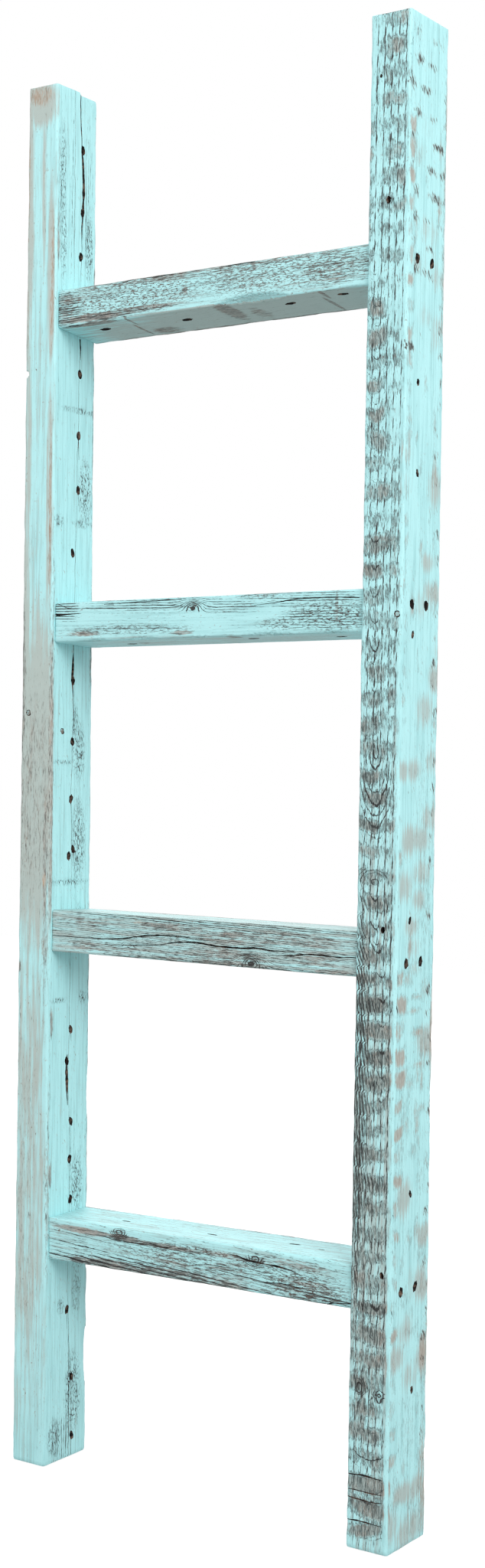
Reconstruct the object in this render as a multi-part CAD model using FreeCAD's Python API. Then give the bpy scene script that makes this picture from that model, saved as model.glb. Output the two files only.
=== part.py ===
import FreeCAD, Part
import os

# Blanket ladder of reclaimed timber: two posts, four rungs butted between them, and wood screws.
# Millimetres. X runs along the rungs, Y from the front faces to the back ones, Z up the posts.
# The origin is on the floor, in the middle of the two feet.

# ---- driving dimensions ----
ladder_height = 1219.0          # 4 ft overall
rung_length = 314.0             # gap between the posts, the same at every rung
left_foot_size = (36.5, 61.0)   # width and depth of the left post at the floor
left_head_size = (32.0, 56.0)   # the same post at its top: the old stock tapers
right_foot_size = (38.5, 61.5)
right_head_size = (36.0, 60.5)
bottom_rung_top = 228.0         # height of the lowest rung's upper face, at its middle
rung_pitch = 271.5              # from one rung's upper face to the next
rung_setback = 3.5              # rungs stand back from the posts' front faces
rung_depth = 55.0
edge_round = 1.6                # sawn arrises, softened by sanding and wear

# Each rung, from the floor up: the height of its front face, how far its upper face and its
# underside drop from front to back, how much it climbs from left to right, and how far below its
# upper face the screws go in.
rungs = {
    "bottom_rung": dict(step=0, front=37.5, top_drop=-0.5, under_drop=-0.5, climb=6.0, screw_drop=20.0),
    "lower_rung": dict(step=1, front=37.0, top_drop=2.0, under_drop=1.0, climb=0.0, screw_drop=24.5),
    "upper_rung": dict(step=2, front=34.5, top_drop=0.5, under_drop=2.5, climb=3.0, screw_drop=12.5),
    "top_rung": dict(step=3, front=32.5, top_drop=0.5, under_drop=5.5, climb=2.5, screw_drop=14.0),
}

# Wood screws: two through each post into each rung end, sunk below the post's outer face.
screw_depths_y = {"front": -15.5, "back": 8.0}
screw_recess_radius = 3.9
screw_recess_depth = 7.0
screw_length = 76.0
screw_head_radius = 3.6
screw_head_height = 3.4
screw_radius = 2.1
screw_tip_length = 7.0
screw_drive_size = 3.8
screw_drive_width = 0.9
screw_drive_depth = 1.8
shank_clearance = 0.3
pilot_clearance = 0.05

# Old nail holes, each a place, a hole radius and a depth into the wood.
# On the left post's inner face the pair is (Y, Z); the holes follow the long split.
left_inner_holes = [
    (6, 1169), (6, 1115), (4, 1076), (4.5, 973), (4, 919), (4, 871), (-3, 815), (-0.5, 702),
    (-0.5, 648), (-1.5, 597), (2, 552), (-4, 546), (1.5, 390), (-3.5, 362), (3, 307), (2, 273),
    (3.5, 236), (0.5, 136), (8, 73), (9, 19),
]
# On the right post's outer face, (Y, Z).
right_outer_holes = [(-11.5, 934), (-10, 863), (-13.5, 736), (-10.5, 509), (-2.5, 288), (5, 127)]
# On the right post's front face, (X, Z).
right_front_holes = [(165.5, 1171), (174.5, 1074), (180.5, 502), (185, 226)]
# In the undersides of the two upper rungs, (X, Y).
top_rung_holes = [(-120, -8), (-36, -4), (71, -9), (124, -14)]
upper_rung_holes = [(-96, 4), (38, -6), (118, 2)]
nail_hole_radius = 1.9
nail_hole_depth = 16.0

# Nails still in the wood: flat heads level with the surface.
nail_head_radius = 2.4
nail_head_height = 0.9
nail_radius = 1.4
nail_length = 28.0

# The long split down the left post's inner face: (Y, Z) from the top to the floor.
split_line = [
    (1.5, 1219), (6, 1120), (4, 980), (1.5, 820), (-1, 690), (-1, 590),
    (1.5, 470), (-1.5, 360), (2.5, 270), (1, 150), (8, 60), (8.5, 0),
]
split_width = 1.5
split_depth = 7.0

top_chip_depth = 2.6            # the left post's back half ends this far below its front half
edge_notch_height = 971.0       # a bite out of the left post's outer front arris
edge_notch_radius = 3.2
edge_notch_depth = 6.5          # back from the front face
wane_centre_x = 45.0            # missing bark edge along the top rung's lower front arris
wane_length = 84.0
wane_depth = 5.0

# ---- values that follow from them ----
overall_width = left_foot_size[0] + rung_length + right_foot_size[0]
overall_depth = max(left_foot_size[1], right_foot_size[1])
left_inner_x = -overall_width / 2 + left_foot_size[0]
right_inner_x = left_inner_x + rung_length
front_y = -overall_depth / 2
rung_front_y = front_y + rung_setback
rung_back_y = rung_front_y + rung_depth

vector = FreeCAD.Vector


def tapered_box(low_corners, high_corners):
    """A closed solid between two four-sided outlines."""
    low = Part.makePolygon(low_corners + low_corners[:1])
    high = Part.makePolygon(high_corners + high_corners[:1])
    return Part.makeLoft([low, high], True, True)


def softened(solid, radius):
    """The same solid with every arris rounded."""
    return solid.makeFillet(radius, solid.Edges)


def cylinder(start, direction, radius, length):
    return Part.makeCylinder(radius, length, start, direction)


def post_outline(inner_x, side, size, height):
    """The post's section at one height; side is -1 for the left post and 1 for the right."""
    width, depth = size
    outer_x = inner_x + side * width
    left, right = sorted((inner_x, outer_x))
    return [
        vector(left, front_y, height),
        vector(right, front_y, height),
        vector(right, front_y + depth, height),
        vector(left, front_y + depth, height),
    ]


def post_blank(inner_x, side, foot_size, head_size):
    low = post_outline(inner_x, side, foot_size, 0.0)
    high = post_outline(inner_x, side, head_size, ladder_height)
    return softened(tapered_box(low, high), edge_round)


def outer_face_x(side, height):
    """Where a post's outer face is at one height."""
    foot, head = (left_foot_size, left_head_size) if side < 0 else (right_foot_size, right_head_size)
    inner_x = left_inner_x if side < 0 else right_inner_x
    width = foot[0] + (head[0] - foot[0]) * height / ladder_height
    return inner_x + side * width


def rung_top(name, x):
    """Height of a rung's front upper arris at one place along it."""
    rung = rungs[name]
    middle = (left_inner_x + right_inner_x) / 2
    return bottom_rung_top + rung["step"] * rung_pitch + rung["climb"] * (x - middle) / rung_length


def rung_outline(name, x):
    rung = rungs[name]
    top = rung_top(name, x)
    under = top - rung["front"]
    return [
        vector(x, rung_front_y, under),
        vector(x, rung_back_y, under - rung["under_drop"]),
        vector(x, rung_back_y, top - rung["top_drop"]),
        vector(x, rung_front_y, top),
    ]


def rung_blank(name):
    """A rung with rounded long arrises and square ends that butt against the posts."""
    solid = tapered_box(rung_outline(name, left_inner_x), rung_outline(name, right_inner_x))
    long_edges = [edge for edge in solid.Edges if edge.Length > rung_length / 2]
    return solid.makeFillet(edge_round, long_edges)


def screw_seats(name, side):
    """The bottoms of a rung end's two screw recesses, where the heads sit."""
    inner_x = left_inner_x if side < 0 else right_inner_x
    height = rung_top(name, inner_x) - rungs[name]["screw_drop"]
    seat_x = outer_face_x(side, height) - side * screw_recess_depth
    return [vector(seat_x, y, height) for y in screw_depths_y.values()]


def screw(seat, side):
    """One countersunk wood screw with a cross recess, its head's flat face at seat."""
    inward = vector(-side, 0, 0)
    cone = Part.makeCone(screw_head_radius, screw_radius, screw_head_height, seat, inward)
    shank_length = screw_length - screw_head_height - screw_tip_length
    shank_start = seat + inward * screw_head_height
    shank = cylinder(shank_start, inward, screw_radius, shank_length)
    tip_start = shank_start + inward * shank_length
    tip = Part.makeCone(screw_radius, 0.2, screw_tip_length, tip_start, inward)
    body = cone.fuse([shank, tip]).removeSplitter()
    for size_y, size_z in ((screw_drive_size, screw_drive_width), (screw_drive_width, screw_drive_size)):
        low_x = min(seat.x, seat.x + inward.x * screw_drive_depth)
        corner = vector(low_x, seat.y - size_y / 2, seat.z - size_z / 2)
        body = body.cut(Part.makeBox(screw_drive_depth, size_y, size_z, corner))
    return body


def screw_bore(seat, side, radius_gap):
    """The room that one screw takes: the sunk recess, the seat's cone and the shank's hole."""
    inward = vector(-side, 0, 0)
    recess = cylinder(seat, vector(side, 0, 0), screw_recess_radius, screw_recess_depth * 2)
    cone = Part.makeCone(screw_head_radius, screw_radius, screw_head_height, seat, inward)
    shank = cylinder(seat, inward, screw_radius + radius_gap, screw_length)
    return recess.fuse([cone, shank])


def bored_for_screws(solid, side):
    for name in rungs:
        for seat in screw_seats(name, side):
            solid = solid.cut(screw_bore(seat, side, shank_clearance))
    return solid


def nail_holes(places, direction):
    """Round holes into the wood, each starting a little outside the face."""
    lead = nail_hole_radius
    length = nail_hole_depth + lead
    return [cylinder(place - direction * lead, direction, nail_hole_radius, length) for place in places]


def nail(place, direction):
    head = cylinder(place, direction, nail_head_radius, nail_head_height)
    shank = cylinder(place, direction, nail_radius, nail_length)
    return head.fuse(shank).removeSplitter()


def split_groove():
    """The open split: a narrow V that wanders down the left post's inner face."""
    half = split_width / 2
    pieces = []
    for (y_a, z_a), (y_b, z_b) in zip(split_line, split_line[1:]):
        sections = []
        for y, z in ((y_a, z_a), (y_b, z_b)):
            mouth_x = left_inner_x + 1.0
            root_x = left_inner_x - split_depth
            sections.append([
                vector(mouth_x, y - half, z),
                vector(mouth_x, y + half, z),
                vector(root_x, y + 0.15, z),
                vector(root_x, y - 0.15, z),
            ])
        pieces.append(tapered_box(*sections))
    return pieces


# ---- old nails that are still in the wood ----
nails = {
    "left_post_front_nail": nail(vector(-183.9, front_y, 673.1), vector(0, 1, 0)),
    "left_post_side_nail": nail(vector(left_inner_x, -15.1, 657.2), vector(-1, 0, 0)),
    "right_post_front_nail": nail(vector(188.5, front_y, 751.4), vector(0, 1, 0)),
}


def left_post():
    solid = post_blank(left_inner_x, -1, left_foot_size, left_head_size)
    chip_width = left_foot_size[0] + 2
    chip_corner = vector(left_inner_x + 1 - chip_width, split_line[0][0], ladder_height - top_chip_depth)
    solid = solid.cut(Part.makeBox(chip_width, overall_depth, top_chip_depth, chip_corner))
    solid = solid.cut(split_groove())
    notch_start = vector(outer_face_x(-1, edge_notch_height), front_y, edge_notch_height)
    solid = solid.cut(cylinder(notch_start, vector(0, 1, 0), edge_notch_radius, edge_notch_depth))
    inward = vector(-1, 0, 0)
    holes = [vector(left_inner_x, y, z) for y, z in left_inner_holes]
    solid = solid.cut(nail_holes(holes, inward))
    solid = bored_for_screws(solid, -1)
    return solid.cut([nails["left_post_front_nail"], nails["left_post_side_nail"]])


def right_post():
    solid = post_blank(right_inner_x, 1, right_foot_size, right_head_size)
    inward = vector(-1, 0, 0)
    backward = vector(0, 1, 0)
    outer_holes = [vector(outer_face_x(1, z), y, z) for y, z in right_outer_holes]
    solid = solid.cut(nail_holes(outer_holes, inward))
    front_holes = [vector(x, front_y, z) for x, z in right_front_holes]
    solid = solid.cut(nail_holes(front_holes, backward))
    solid = bored_for_screws(solid, 1)
    return solid.cut(nails["right_post_front_nail"])


def wane():
    """What is missing along the top rung's lower front arris: a long shallow scoop."""
    half = wane_length / 2
    radius = (half ** 2 + wane_depth ** 2) / (2 * wane_depth)
    arris_height = rung_top("top_rung", wane_centre_x) - rungs["top_rung"]["front"]
    arris = vector(wane_centre_x, rung_front_y, arris_height)
    outward = vector(0, -1, -1).normalize()
    across = vector(0, 1, -1).normalize()
    centre = arris + outward * (radius - wane_depth)
    return cylinder(centre - across * radius, across, radius, 2 * radius)


def rung(name, hole_places):
    solid = rung_blank(name)
    under = rung_top(name, 0.0) - rungs[name]["front"] - rungs[name]["under_drop"]
    if hole_places:
        holes = [vector(x, y, under) for x, y in hole_places]
        solid = solid.cut(nail_holes(holes, vector(0, 0, 1)))
    if name == "top_rung":
        solid = solid.cut(wane())
    for side in (-1, 1):
        for seat in screw_seats(name, side):
            pilot = cylinder(seat, vector(-side, 0, 0), screw_radius + pilot_clearance, screw_length)
            solid = solid.cut(pilot)
    return solid


def export(shape, node):
    shape.exportStep(os.path.join("parts", node + ".step"))
    print(node, "solids", len(shape.Solids), "valid", shape.isValid(), "volume", round(shape.Volume))


os.makedirs("parts", exist_ok=True)
export(left_post(), "left_post")
export(right_post(), "right_post")
underside_holes = {"top_rung": top_rung_holes, "upper_rung": upper_rung_holes}
for rung_name in rungs:
    export(rung(rung_name, underside_holes.get(rung_name, [])), rung_name)
for rung_name in rungs:
    for side_name, post_side in (("left", -1), ("right", 1)):
        pair = [screw(seat, post_side) for seat in screw_seats(rung_name, post_side)]
        export(Part.makeCompound(pair), rung_name + "_" + side_name + "_screws")
for nail_name, nail_shape in nails.items():
    export(nail_shape, nail_name)
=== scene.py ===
import bmesh
import bpy
import numpy as np
from math import cos, pi, radians, sin
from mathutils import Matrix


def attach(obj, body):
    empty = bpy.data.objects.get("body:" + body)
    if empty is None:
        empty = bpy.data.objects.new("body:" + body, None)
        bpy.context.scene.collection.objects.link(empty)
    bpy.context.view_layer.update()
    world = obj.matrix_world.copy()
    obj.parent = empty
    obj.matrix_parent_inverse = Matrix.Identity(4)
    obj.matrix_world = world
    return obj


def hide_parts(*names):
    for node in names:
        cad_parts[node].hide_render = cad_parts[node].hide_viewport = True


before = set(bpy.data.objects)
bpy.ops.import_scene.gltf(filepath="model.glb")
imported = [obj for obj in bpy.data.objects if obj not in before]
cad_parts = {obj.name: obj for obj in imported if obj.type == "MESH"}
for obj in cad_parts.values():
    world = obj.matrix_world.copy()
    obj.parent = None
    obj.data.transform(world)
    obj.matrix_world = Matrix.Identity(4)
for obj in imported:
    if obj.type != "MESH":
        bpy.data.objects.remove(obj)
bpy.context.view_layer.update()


# The studio: a white floor in a white surround, a strong soft box on the camera's right, a
# weaker one on its left, one behind the ladder and an even sky. The camera stands to the right
# of the ladder, a little above its middle, and looks slightly down.
def chip(code):
    """An sRGB hex colour as linear red, green, blue and alpha."""
    shares = [int(code[i:i + 2], 16) / 255 for i in (1, 3, 5)]
    return [s / 12.92 if s <= 0.04045 else ((s + 0.055) / 1.055) ** 2.4 for s in shares] + [1.0]


def socket_of(sockets, key):
    """A node's socket by its identifier or, where none has it, by its name or place in the row."""
    named = {socket.identifier: socket for socket in sockets}
    return named[key] if key in named else sockets[key]


def add(tree, kind, inputs=(), out=0, **settings):
    """Adds one node, sets it, fills its inputs by name or in order, and returns one output."""
    made = tree.nodes.new(kind)
    for name, value in settings.items():
        setattr(made, name, value)
    for key, value in inputs.items() if isinstance(inputs, dict) else enumerate(inputs):
        socket = socket_of(made.inputs, key)
        if isinstance(value, bpy.types.NodeSocket):
            tree.links.new(value, socket)
        else:
            socket.default_value = value
    return socket_of(made.outputs, out) if made.outputs else made


def into_scene(name, data):
    """Puts a mesh, a lamp or the camera into the scene as an object."""
    made = bpy.data.objects.new(name, data)
    bpy.context.scene.collection.objects.link(made)
    return made


def bare_material(name):
    """A new material without nodes, and its node tree."""
    made = bpy.data.materials.new(name)
    made.use_nodes = True
    made.node_tree.nodes.clear()
    return made, made.node_tree


def shown_white(tree):
    """1 for the rays that should meet plain white: from the camera, a reflection or through glass."""
    rays = tree.nodes.new("ShaderNodeLightPath").outputs
    shown = add(tree, "ShaderNodeMath", [rays["Is Camera Ray"], rays["Is Glossy Ray"]],
                operation="MAXIMUM")
    return add(tree, "ShaderNodeMath", [shown, rays["Is Transmission Ray"]], operation="MAXIMUM")


def soft_light(name, azimuth, elevation, distance, size, power):
    """A square soft box that looks at the ladder's middle from one side."""
    lamp = into_scene(name, bpy.data.lights.new(name, "AREA"))
    lamp.data.size = size
    lamp.data.energy = power
    turn, rise = radians(azimuth), radians(elevation)
    lamp.location = (distance * sin(turn) * cos(rise), -distance * cos(turn) * cos(rise),
                     ladder_middle + distance * sin(rise))
    lamp.rotation_euler = (radians(90) - rise, 0, turn)


scene = bpy.context.scene
scene.view_settings.view_transform = "Standard"

camera = into_scene("camera", bpy.data.cameras.new("camera"))
camera.location = (1.023, -1.5023, 0.6458)
camera.rotation_euler = (radians(87.38), radians(-0.77), radians(35.0))
camera.data.sensor_width = 36.0
camera.data.lens = 49.08
camera.data.shift_x = 0.0328
camera.data.shift_y = 0.0380
scene.camera = camera

floor_half = 4.0
floor_drop = 0.0005
floor_mesh = bpy.data.meshes.new("floor")
floor_corners = [(-floor_half, -floor_half, 0), (floor_half, -floor_half, 0),
                 (floor_half, floor_half, 0), (-floor_half, floor_half, 0)]
floor_mesh.from_pydata(floor_corners, [], [(0, 1, 2, 3)])
floor = into_scene("floor", floor_mesh)
floor.location.z = -floor_drop

# Matt white paper: it scatters the light evenly, and the camera and reflections see it just past
# white, so only the shadow at the ladder's feet shows on it.
white_paper, tree = bare_material("matt white paper")
paper = add(tree, "ShaderNodeBsdfDiffuse", {"Color": chip("#a6a6a5")})
glow = add(tree, "ShaderNodeEmission", {"Color": chip("#ffffff"), "Strength": 0.78})
lifted = add(tree, "ShaderNodeAddShader", [paper, glow])
surface = add(tree, "ShaderNodeMixShader", [shown_white(tree), paper, lifted])
add(tree, "ShaderNodeOutputMaterial", {"Surface": surface})
floor_mesh.materials.append(white_paper)

sky_strength = 0.62
world = bpy.data.worlds.new("white surround")
world.use_nodes = True
scene.world = world
tree = world.node_tree
tree.nodes.clear()
strength = add(tree, "ShaderNodeMapRange", {
    "Value": shown_white(tree), "To Min": sky_strength, "To Max": 1.0})
sky = add(tree, "ShaderNodeBackground", {"Color": chip("#ffffff"), "Strength": strength})
add(tree, "ShaderNodeOutputWorld", {"Surface": sky})

ladder_middle = 0.6
soft_light("large_soft_box", azimuth=62, elevation=27, distance=3.4, size=1.8, power=73)
soft_light("fill_soft_box", azimuth=-30, elevation=20, distance=3.5, size=2.0, power=30)
soft_light("back_soft_box", azimuth=212, elevation=24, distance=3.6, size=2.0, power=42)


# The two posts: old rough-sawn softwood, about 1 1/2 by 2 1/2 inches, brushed with a thin
# turquoise chalk paint and rubbed back. They taper a little, and the saw that cut them left
# ridges about 20 mm apart, with bare patches in the hollows between them.
post_height = 1.219
post_front = -0.03075
left_inner = -0.158
right_inner = 0.156
left_post_section = {"foot": (0.0365, 0.061), "head": (0.032, 0.056)}
right_post_section = {"foot": (0.0385, 0.0615), "head": (0.036, 0.0605)}
left_front_nail = (-0.1839, post_front, 0.6731)
left_side_nail = (left_inner, -0.0151, 0.6572)
right_front_nail = (0.1885, post_front, 0.7514)
post_cells = {"Cells Across": 30, "Cells Deep": 49, "Cells Along": 560}
timber_crease = 42
x_axis, y_axis, z_axis = 0, 1, 2
rightwards, leftwards = (1.0, 0.0, 0.0), (-1.0, 0.0, 0.0)
backwards, upwards, downwards = (0.0, 1.0, 0.0), (0.0, 0.0, 1.0), (0.0, 0.0, -1.0)

# Marks on the timbers are placed in millimetres, and so are the rows that the saw left.
row_pitch = 20.3
first_row = 6.0


def part_tree(name, part, sizes, vectors=(), counts=()):
    """An empty Geometry Nodes tree for one kind of part, and its inputs; the last is the finish."""
    tree = bpy.data.node_groups.new(name, "GeometryNodeTree")
    for kind, names in (("NodeSocketFloat", sizes), ("NodeSocketVector", vectors),
                        ("NodeSocketInt", counts), ("NodeSocketMaterial", ["Finish"])):
        for wanted in names:
            socket = tree.interface.new_socket(wanted, in_out="INPUT", socket_type=kind)
            if wanted in sizes:
                socket.default_value = sizes[wanted]
    tree.interface.new_socket(part, in_out="OUTPUT", socket_type="NodeSocketGeometry")
    return tree, tree.nodes.new("NodeGroupInput").outputs


def finish_part(tree, shape, finish):
    """Ends a tree: the shape becomes a real mesh, gets its finish and goes out."""
    real = add(tree, "GeometryNodeRealizeInstances", {"Geometry": shape})
    finished = add(tree, "GeometryNodeSetMaterial", {"Geometry": real, "Material": finish})
    add(tree, "NodeGroupOutput", [finished])


def sawn_timber_tree():
    """Cuts a straight length of timber with worn arrises, saw ridges and raised grain."""
    tree, given = part_tree("rough-sawn timber", "Timber", {
        "Width": 0.038, "Depth": 0.061, "Length": 1.2, "Arris": 0.0018, "Arris Wear": 0.5,
        "End Arris": 0.001, "Saw Pitch": row_pitch / 1000, "Front Saw Depth": 0.0003,
        "Side Saw Depth": 0.0001, "Saw Slant": 0.3, "Grain Relief": 0.0003, "Waviness": 0.0008,
        "Seed": 0.0}, counts=("Cells Across", "Cells Deep", "Cells Along"))
    size = add(tree, "ShaderNodeCombineXYZ", [given["Width"], given["Depth"], given["Length"]])
    block = add(tree, "GeometryNodeMeshCube", {
        "Size": size, "Vertices X": given["Cells Across"],
        "Vertices Y": given["Cells Deep"], "Vertices Z": given["Cells Along"]})
    place = add(tree, "GeometryNodeInputPosition")

    # Each arris is rounded by a radius that wanders along it.
    patchy = add(tree, "ShaderNodeTexNoise", {
        "Vector": place, "W": given["Seed"], "Scale": 42.0, "Detail": 3.0}, noise_dimensions="4D")
    spread = add(tree, "ShaderNodeMapRange", {
        "Value": patchy, "From Min": 0.3, "From Max": 0.7, "To Min": -1.0, "To Max": 1.6})
    wear = add(tree, "ShaderNodeMath", [spread, given["Arris Wear"], 1.0], operation="MULTIPLY_ADD")
    arris = add(tree, "ShaderNodeMath", [given["Arris"], wear], operation="MULTIPLY")
    radius = add(tree, "ShaderNodeCombineXYZ", [arris, arris, given["End Arris"]])
    half = add(tree, "ShaderNodeVectorMath", {"Vector": size, "Scale": 0.5}, operation="SCALE")
    reach = add(tree, "ShaderNodeVectorMath", [half, radius], operation="SUBTRACT")
    reach_back = add(tree, "ShaderNodeVectorMath", {"Vector": reach, "Scale": -1.0}, operation="SCALE")
    held = add(tree, "ShaderNodeVectorMath", [place, reach_back], operation="MAXIMUM")
    core = add(tree, "ShaderNodeVectorMath", [held, reach], operation="MINIMUM")
    beyond = add(tree, "ShaderNodeVectorMath", [place, core], operation="SUBTRACT")
    share = add(tree, "ShaderNodeVectorMath", [beyond, radius], operation="DIVIDE")
    facing = add(tree, "ShaderNodeVectorMath", [share], operation="NORMALIZE")
    rounded = add(tree, "ShaderNodeVectorMath", [facing, radius, core], operation="MULTIPLY_ADD")
    deep, along = add(tree, "ShaderNodeSeparateXYZ", [place]).node.outputs[1:]
    side_out, front_out, end_out = add(tree, "ShaderNodeSeparateXYZ", [facing]).node.outputs

    def ridges(at, depth, on_face):
        """Waves of this depth at the saw's pitch, where the surface turns to the face."""
        turn = add(tree, "ShaderNodeMath", [at, given["Saw Pitch"]], operation="DIVIDE")
        angle = add(tree, "ShaderNodeMath", [turn, 2 * pi], operation="MULTIPLY")
        wave = add(tree, "ShaderNodeMath", [angle], operation="COSINE")
        ridge = add(tree, "ShaderNodeMath", [wave, depth], operation="MULTIPLY")
        return add(tree, "ShaderNodeMath", [ridge, on_face], operation="MULTIPLY")

    def roughened(height, stretch, detail, amount):
        """Adds noise of this amount to a height; stretch is its features per metre."""
        stretched = add(tree, "ShaderNodeVectorMath", [place, stretch], operation="MULTIPLY")
        noise = add(tree, "ShaderNodeTexNoise", {
            "Vector": stretched, "W": given["Seed"], "Scale": 1.0, "Detail": detail},
            noise_dimensions="4D")
        centred = add(tree, "ShaderNodeMath", [noise, 0.5], operation="SUBTRACT")
        return add(tree, "ShaderNodeMath", [centred, amount, height], operation="MULTIPLY_ADD")

    # Saw ridges lie straight across the front face and slant on the sides.
    front = add(tree, "ShaderNodeMapRange", {"Value": front_out, "From Min": -0.6, "From Max": -0.95})
    side_way = add(tree, "ShaderNodeMath", [side_out], operation="ABSOLUTE")
    side = add(tree, "ShaderNodeMapRange", {"Value": side_way, "From Min": 0.6, "From Max": 0.95})
    slanting = add(tree, "ShaderNodeMath", [deep, given["Saw Slant"], along], operation="MULTIPLY_ADD")
    front_relief = ridges(along, given["Front Saw Depth"], front)
    side_relief = ridges(slanting, given["Side Saw Depth"], side)
    sawn = add(tree, "ShaderNodeMath", [front_relief, side_relief], operation="ADD")

    # Raised grain runs the whole length, and the faces wander by part of a millimetre. The sawn
    # ends stay flat.
    grained = roughened(sawn, (420.0, 420.0, 16.0), 2.0, given["Grain Relief"])
    height = roughened(grained, (24.0, 24.0, 7.0), 1.0, given["Waviness"])
    end_way = add(tree, "ShaderNodeMath", [end_out], operation="ABSOLUTE")
    not_end = add(tree, "ShaderNodeMapRange", {
        "Value": end_way, "From Min": 0.3, "From Max": 0.9, "To Min": 1.0, "To Max": 0.0})
    relief = add(tree, "ShaderNodeMath", [height, not_end], operation="MULTIPLY")
    lift = add(tree, "ShaderNodeVectorMath", {"Vector": facing, "Scale": relief}, operation="SCALE")
    surface = add(tree, "ShaderNodeVectorMath", [rounded, lift], operation="ADD")
    shaped = add(tree, "GeometryNodeSetPosition", {"Geometry": block, "Position": surface})
    finish_part(tree, shaped, given["Finish"])
    return tree


def cut_from(tree, name, inputs):
    """Runs a tree once with these inputs and keeps the result as a plain mesh object."""
    piece = into_scene(name, bpy.data.meshes.new(name))
    cutting = piece.modifiers.new("cutting", "NODES")
    cutting.node_group = tree
    for item in tree.interface.items_tree:
        if item.in_out == "INPUT" and item.name in inputs:
            cutting[item.identifier] = inputs[item.name]
    made = piece.evaluated_get(bpy.context.evaluated_depsgraph_get())
    mesh = bpy.data.meshes.new_from_object(made)
    piece.modifiers.clear()
    piece.data = mesh
    mesh.name = name
    mesh.materials.clear()
    mesh.materials.append(inputs["Finish"])
    mesh.polygons.foreach_set("material_index", np.zeros(len(mesh.polygons), np.int32))
    return piece


def points_of(mesh):
    """The mesh's points as an array, one row for each."""
    flat = np.empty(len(mesh.vertices) * 3, np.float32)
    mesh.vertices.foreach_get("co", flat)
    return flat.reshape(-1, 3).astype(float)


def put_points(mesh, points):
    """Moves the mesh's points to the rows of an array."""
    mesh.vertices.foreach_set("co", points.astype(np.float32).ravel())
    mesh.update()


def set_to_outline(mesh, size, corners):
    """Moves a straight timber, centred on the origin, to the eight corners of its real outline.

    corners[i][j][k] is a corner: i over the width, j from front to back, k from end to end."""
    share = points_of(mesh) / np.array(size) + 0.5
    placed = np.zeros_like(share)
    for i in (0, 1):
        for j in (0, 1):
            for k in (0, 1):
                weight = np.ones(len(share))
                for axis, end in enumerate((i, j, k)):
                    weight = weight * (share[:, axis] if end else 1 - share[:, axis])
                placed += weight[:, None] * np.array(corners[i][j][k])
    put_points(mesh, placed)


def post_corners(inner, side, section):
    """The corners of a post; side is -1 for the left post and 1 for the right."""
    ends = []
    for height, (width, depth) in ((0.0, section["foot"]), (post_height, section["head"])):
        low, high = sorted((inner, inner + side * width))
        ends.append([[(x, y, height) for y in (post_front, post_front + depth)] for x in (low, high)])
    return [[[ends[k][i][j] for k in (0, 1)] for j in (0, 1)] for i in (0, 1)]


def drop_idle_corners(mesh, rounds=4):
    """A cut can leave a corner that only two faces share, which folds over once they are triangles.

    Taking one out can make its neighbour idle, so it is done a few times."""
    shape = bmesh.new()
    shape.from_mesh(mesh)
    for _ in range(rounds):
        idle = [corner for corner in shape.verts if len(corner.link_edges) == 2]
        bmesh.ops.dissolve_verts(shape, verts=idle)
    shape.to_mesh(mesh)
    shape.free()


def bored(piece, *cutters):
    """Cuts closed meshes out of a piece, one after the other; cut walls keep the cutter's finish."""
    for mesh in cutters:
        cutter = into_scene(mesh.name, mesh)
        cut = piece.modifiers.new("cut", "BOOLEAN")
        cut.operation = "DIFFERENCE"
        cut.solver = "MANIFOLD"
        cut.material_mode = "TRANSFER"
        cut.object = cutter
        made = piece.evaluated_get(bpy.context.evaluated_depsgraph_get())
        cut_mesh = bpy.data.meshes.new_from_object(made)
        piece.modifiers.clear()
        piece.data = cut_mesh
        bpy.data.objects.remove(cutter)
    drop_idle_corners(piece.data)


def closed_stacks(name, stacks, finish):
    """One mesh with a closed shape through each stack of rings, all with as many points each."""
    points, faces = [], []
    for stack in stacks:
        first, sides = len(points), len(stack[0])
        points.extend(tuple(point) for ring in stack for point in ring)
        for level in range(len(stack) - 1):
            low, high = first + level * sides, first + (level + 1) * sides
            for s in range(sides):
                after = (s + 1) % sides
                faces.append((low + s, low + after, high + after, high + s))
        faces.append([first + s for s in reversed(range(sides))])
        faces.append([first + (len(stack) - 1) * sides + s for s in range(sides)])
    mesh = bpy.data.meshes.new(name)
    mesh.from_pydata(points, [], faces)
    shell = bmesh.new()
    shell.from_mesh(mesh)
    bmesh.ops.recalc_face_normals(shell, faces=shell.faces)
    shell.to_mesh(mesh)
    shell.free()
    mesh.materials.append(finish)
    return mesh


def holes(name, places, inward, along, finish, radius=0.0021, depth=0.014, tail=1.45,
          narrowing=0.62, seed=1):
    """Holes with torn outlines, longer along the grain and narrowing inwards, as one cutter.

    Each place is (x, y, z, size), and size scales the hole."""
    random = np.random.default_rng(seed)
    inward, along = np.array(inward, float), np.array(along, float)
    across = np.cross(inward, along)
    corners = 16
    angles = np.linspace(0, 2 * pi, corners, endpoint=False)
    above, rim = (-0.003, 1.2), (0.0008, 0.98)
    stacks = []
    for x, y, z, size in places:
        torn = 1 + random.uniform(-0.14, 0.14, corners)
        skew = random.uniform(-0.3, 0.3)
        stack = []
        for level, share in (above, rim, (depth, narrowing)):
            reach = radius * size * torn * share
            u = reach * (np.cos(angles) + skew * np.sin(angles))
            v = reach * tail * np.sin(angles)
            centre = np.array((x, y, z)) + inward * level
            stack.append(centre + u[:, None] * across + v[:, None] * along)
        stacks.append(stack)
    return closed_stacks(name, stacks, finish)


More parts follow.
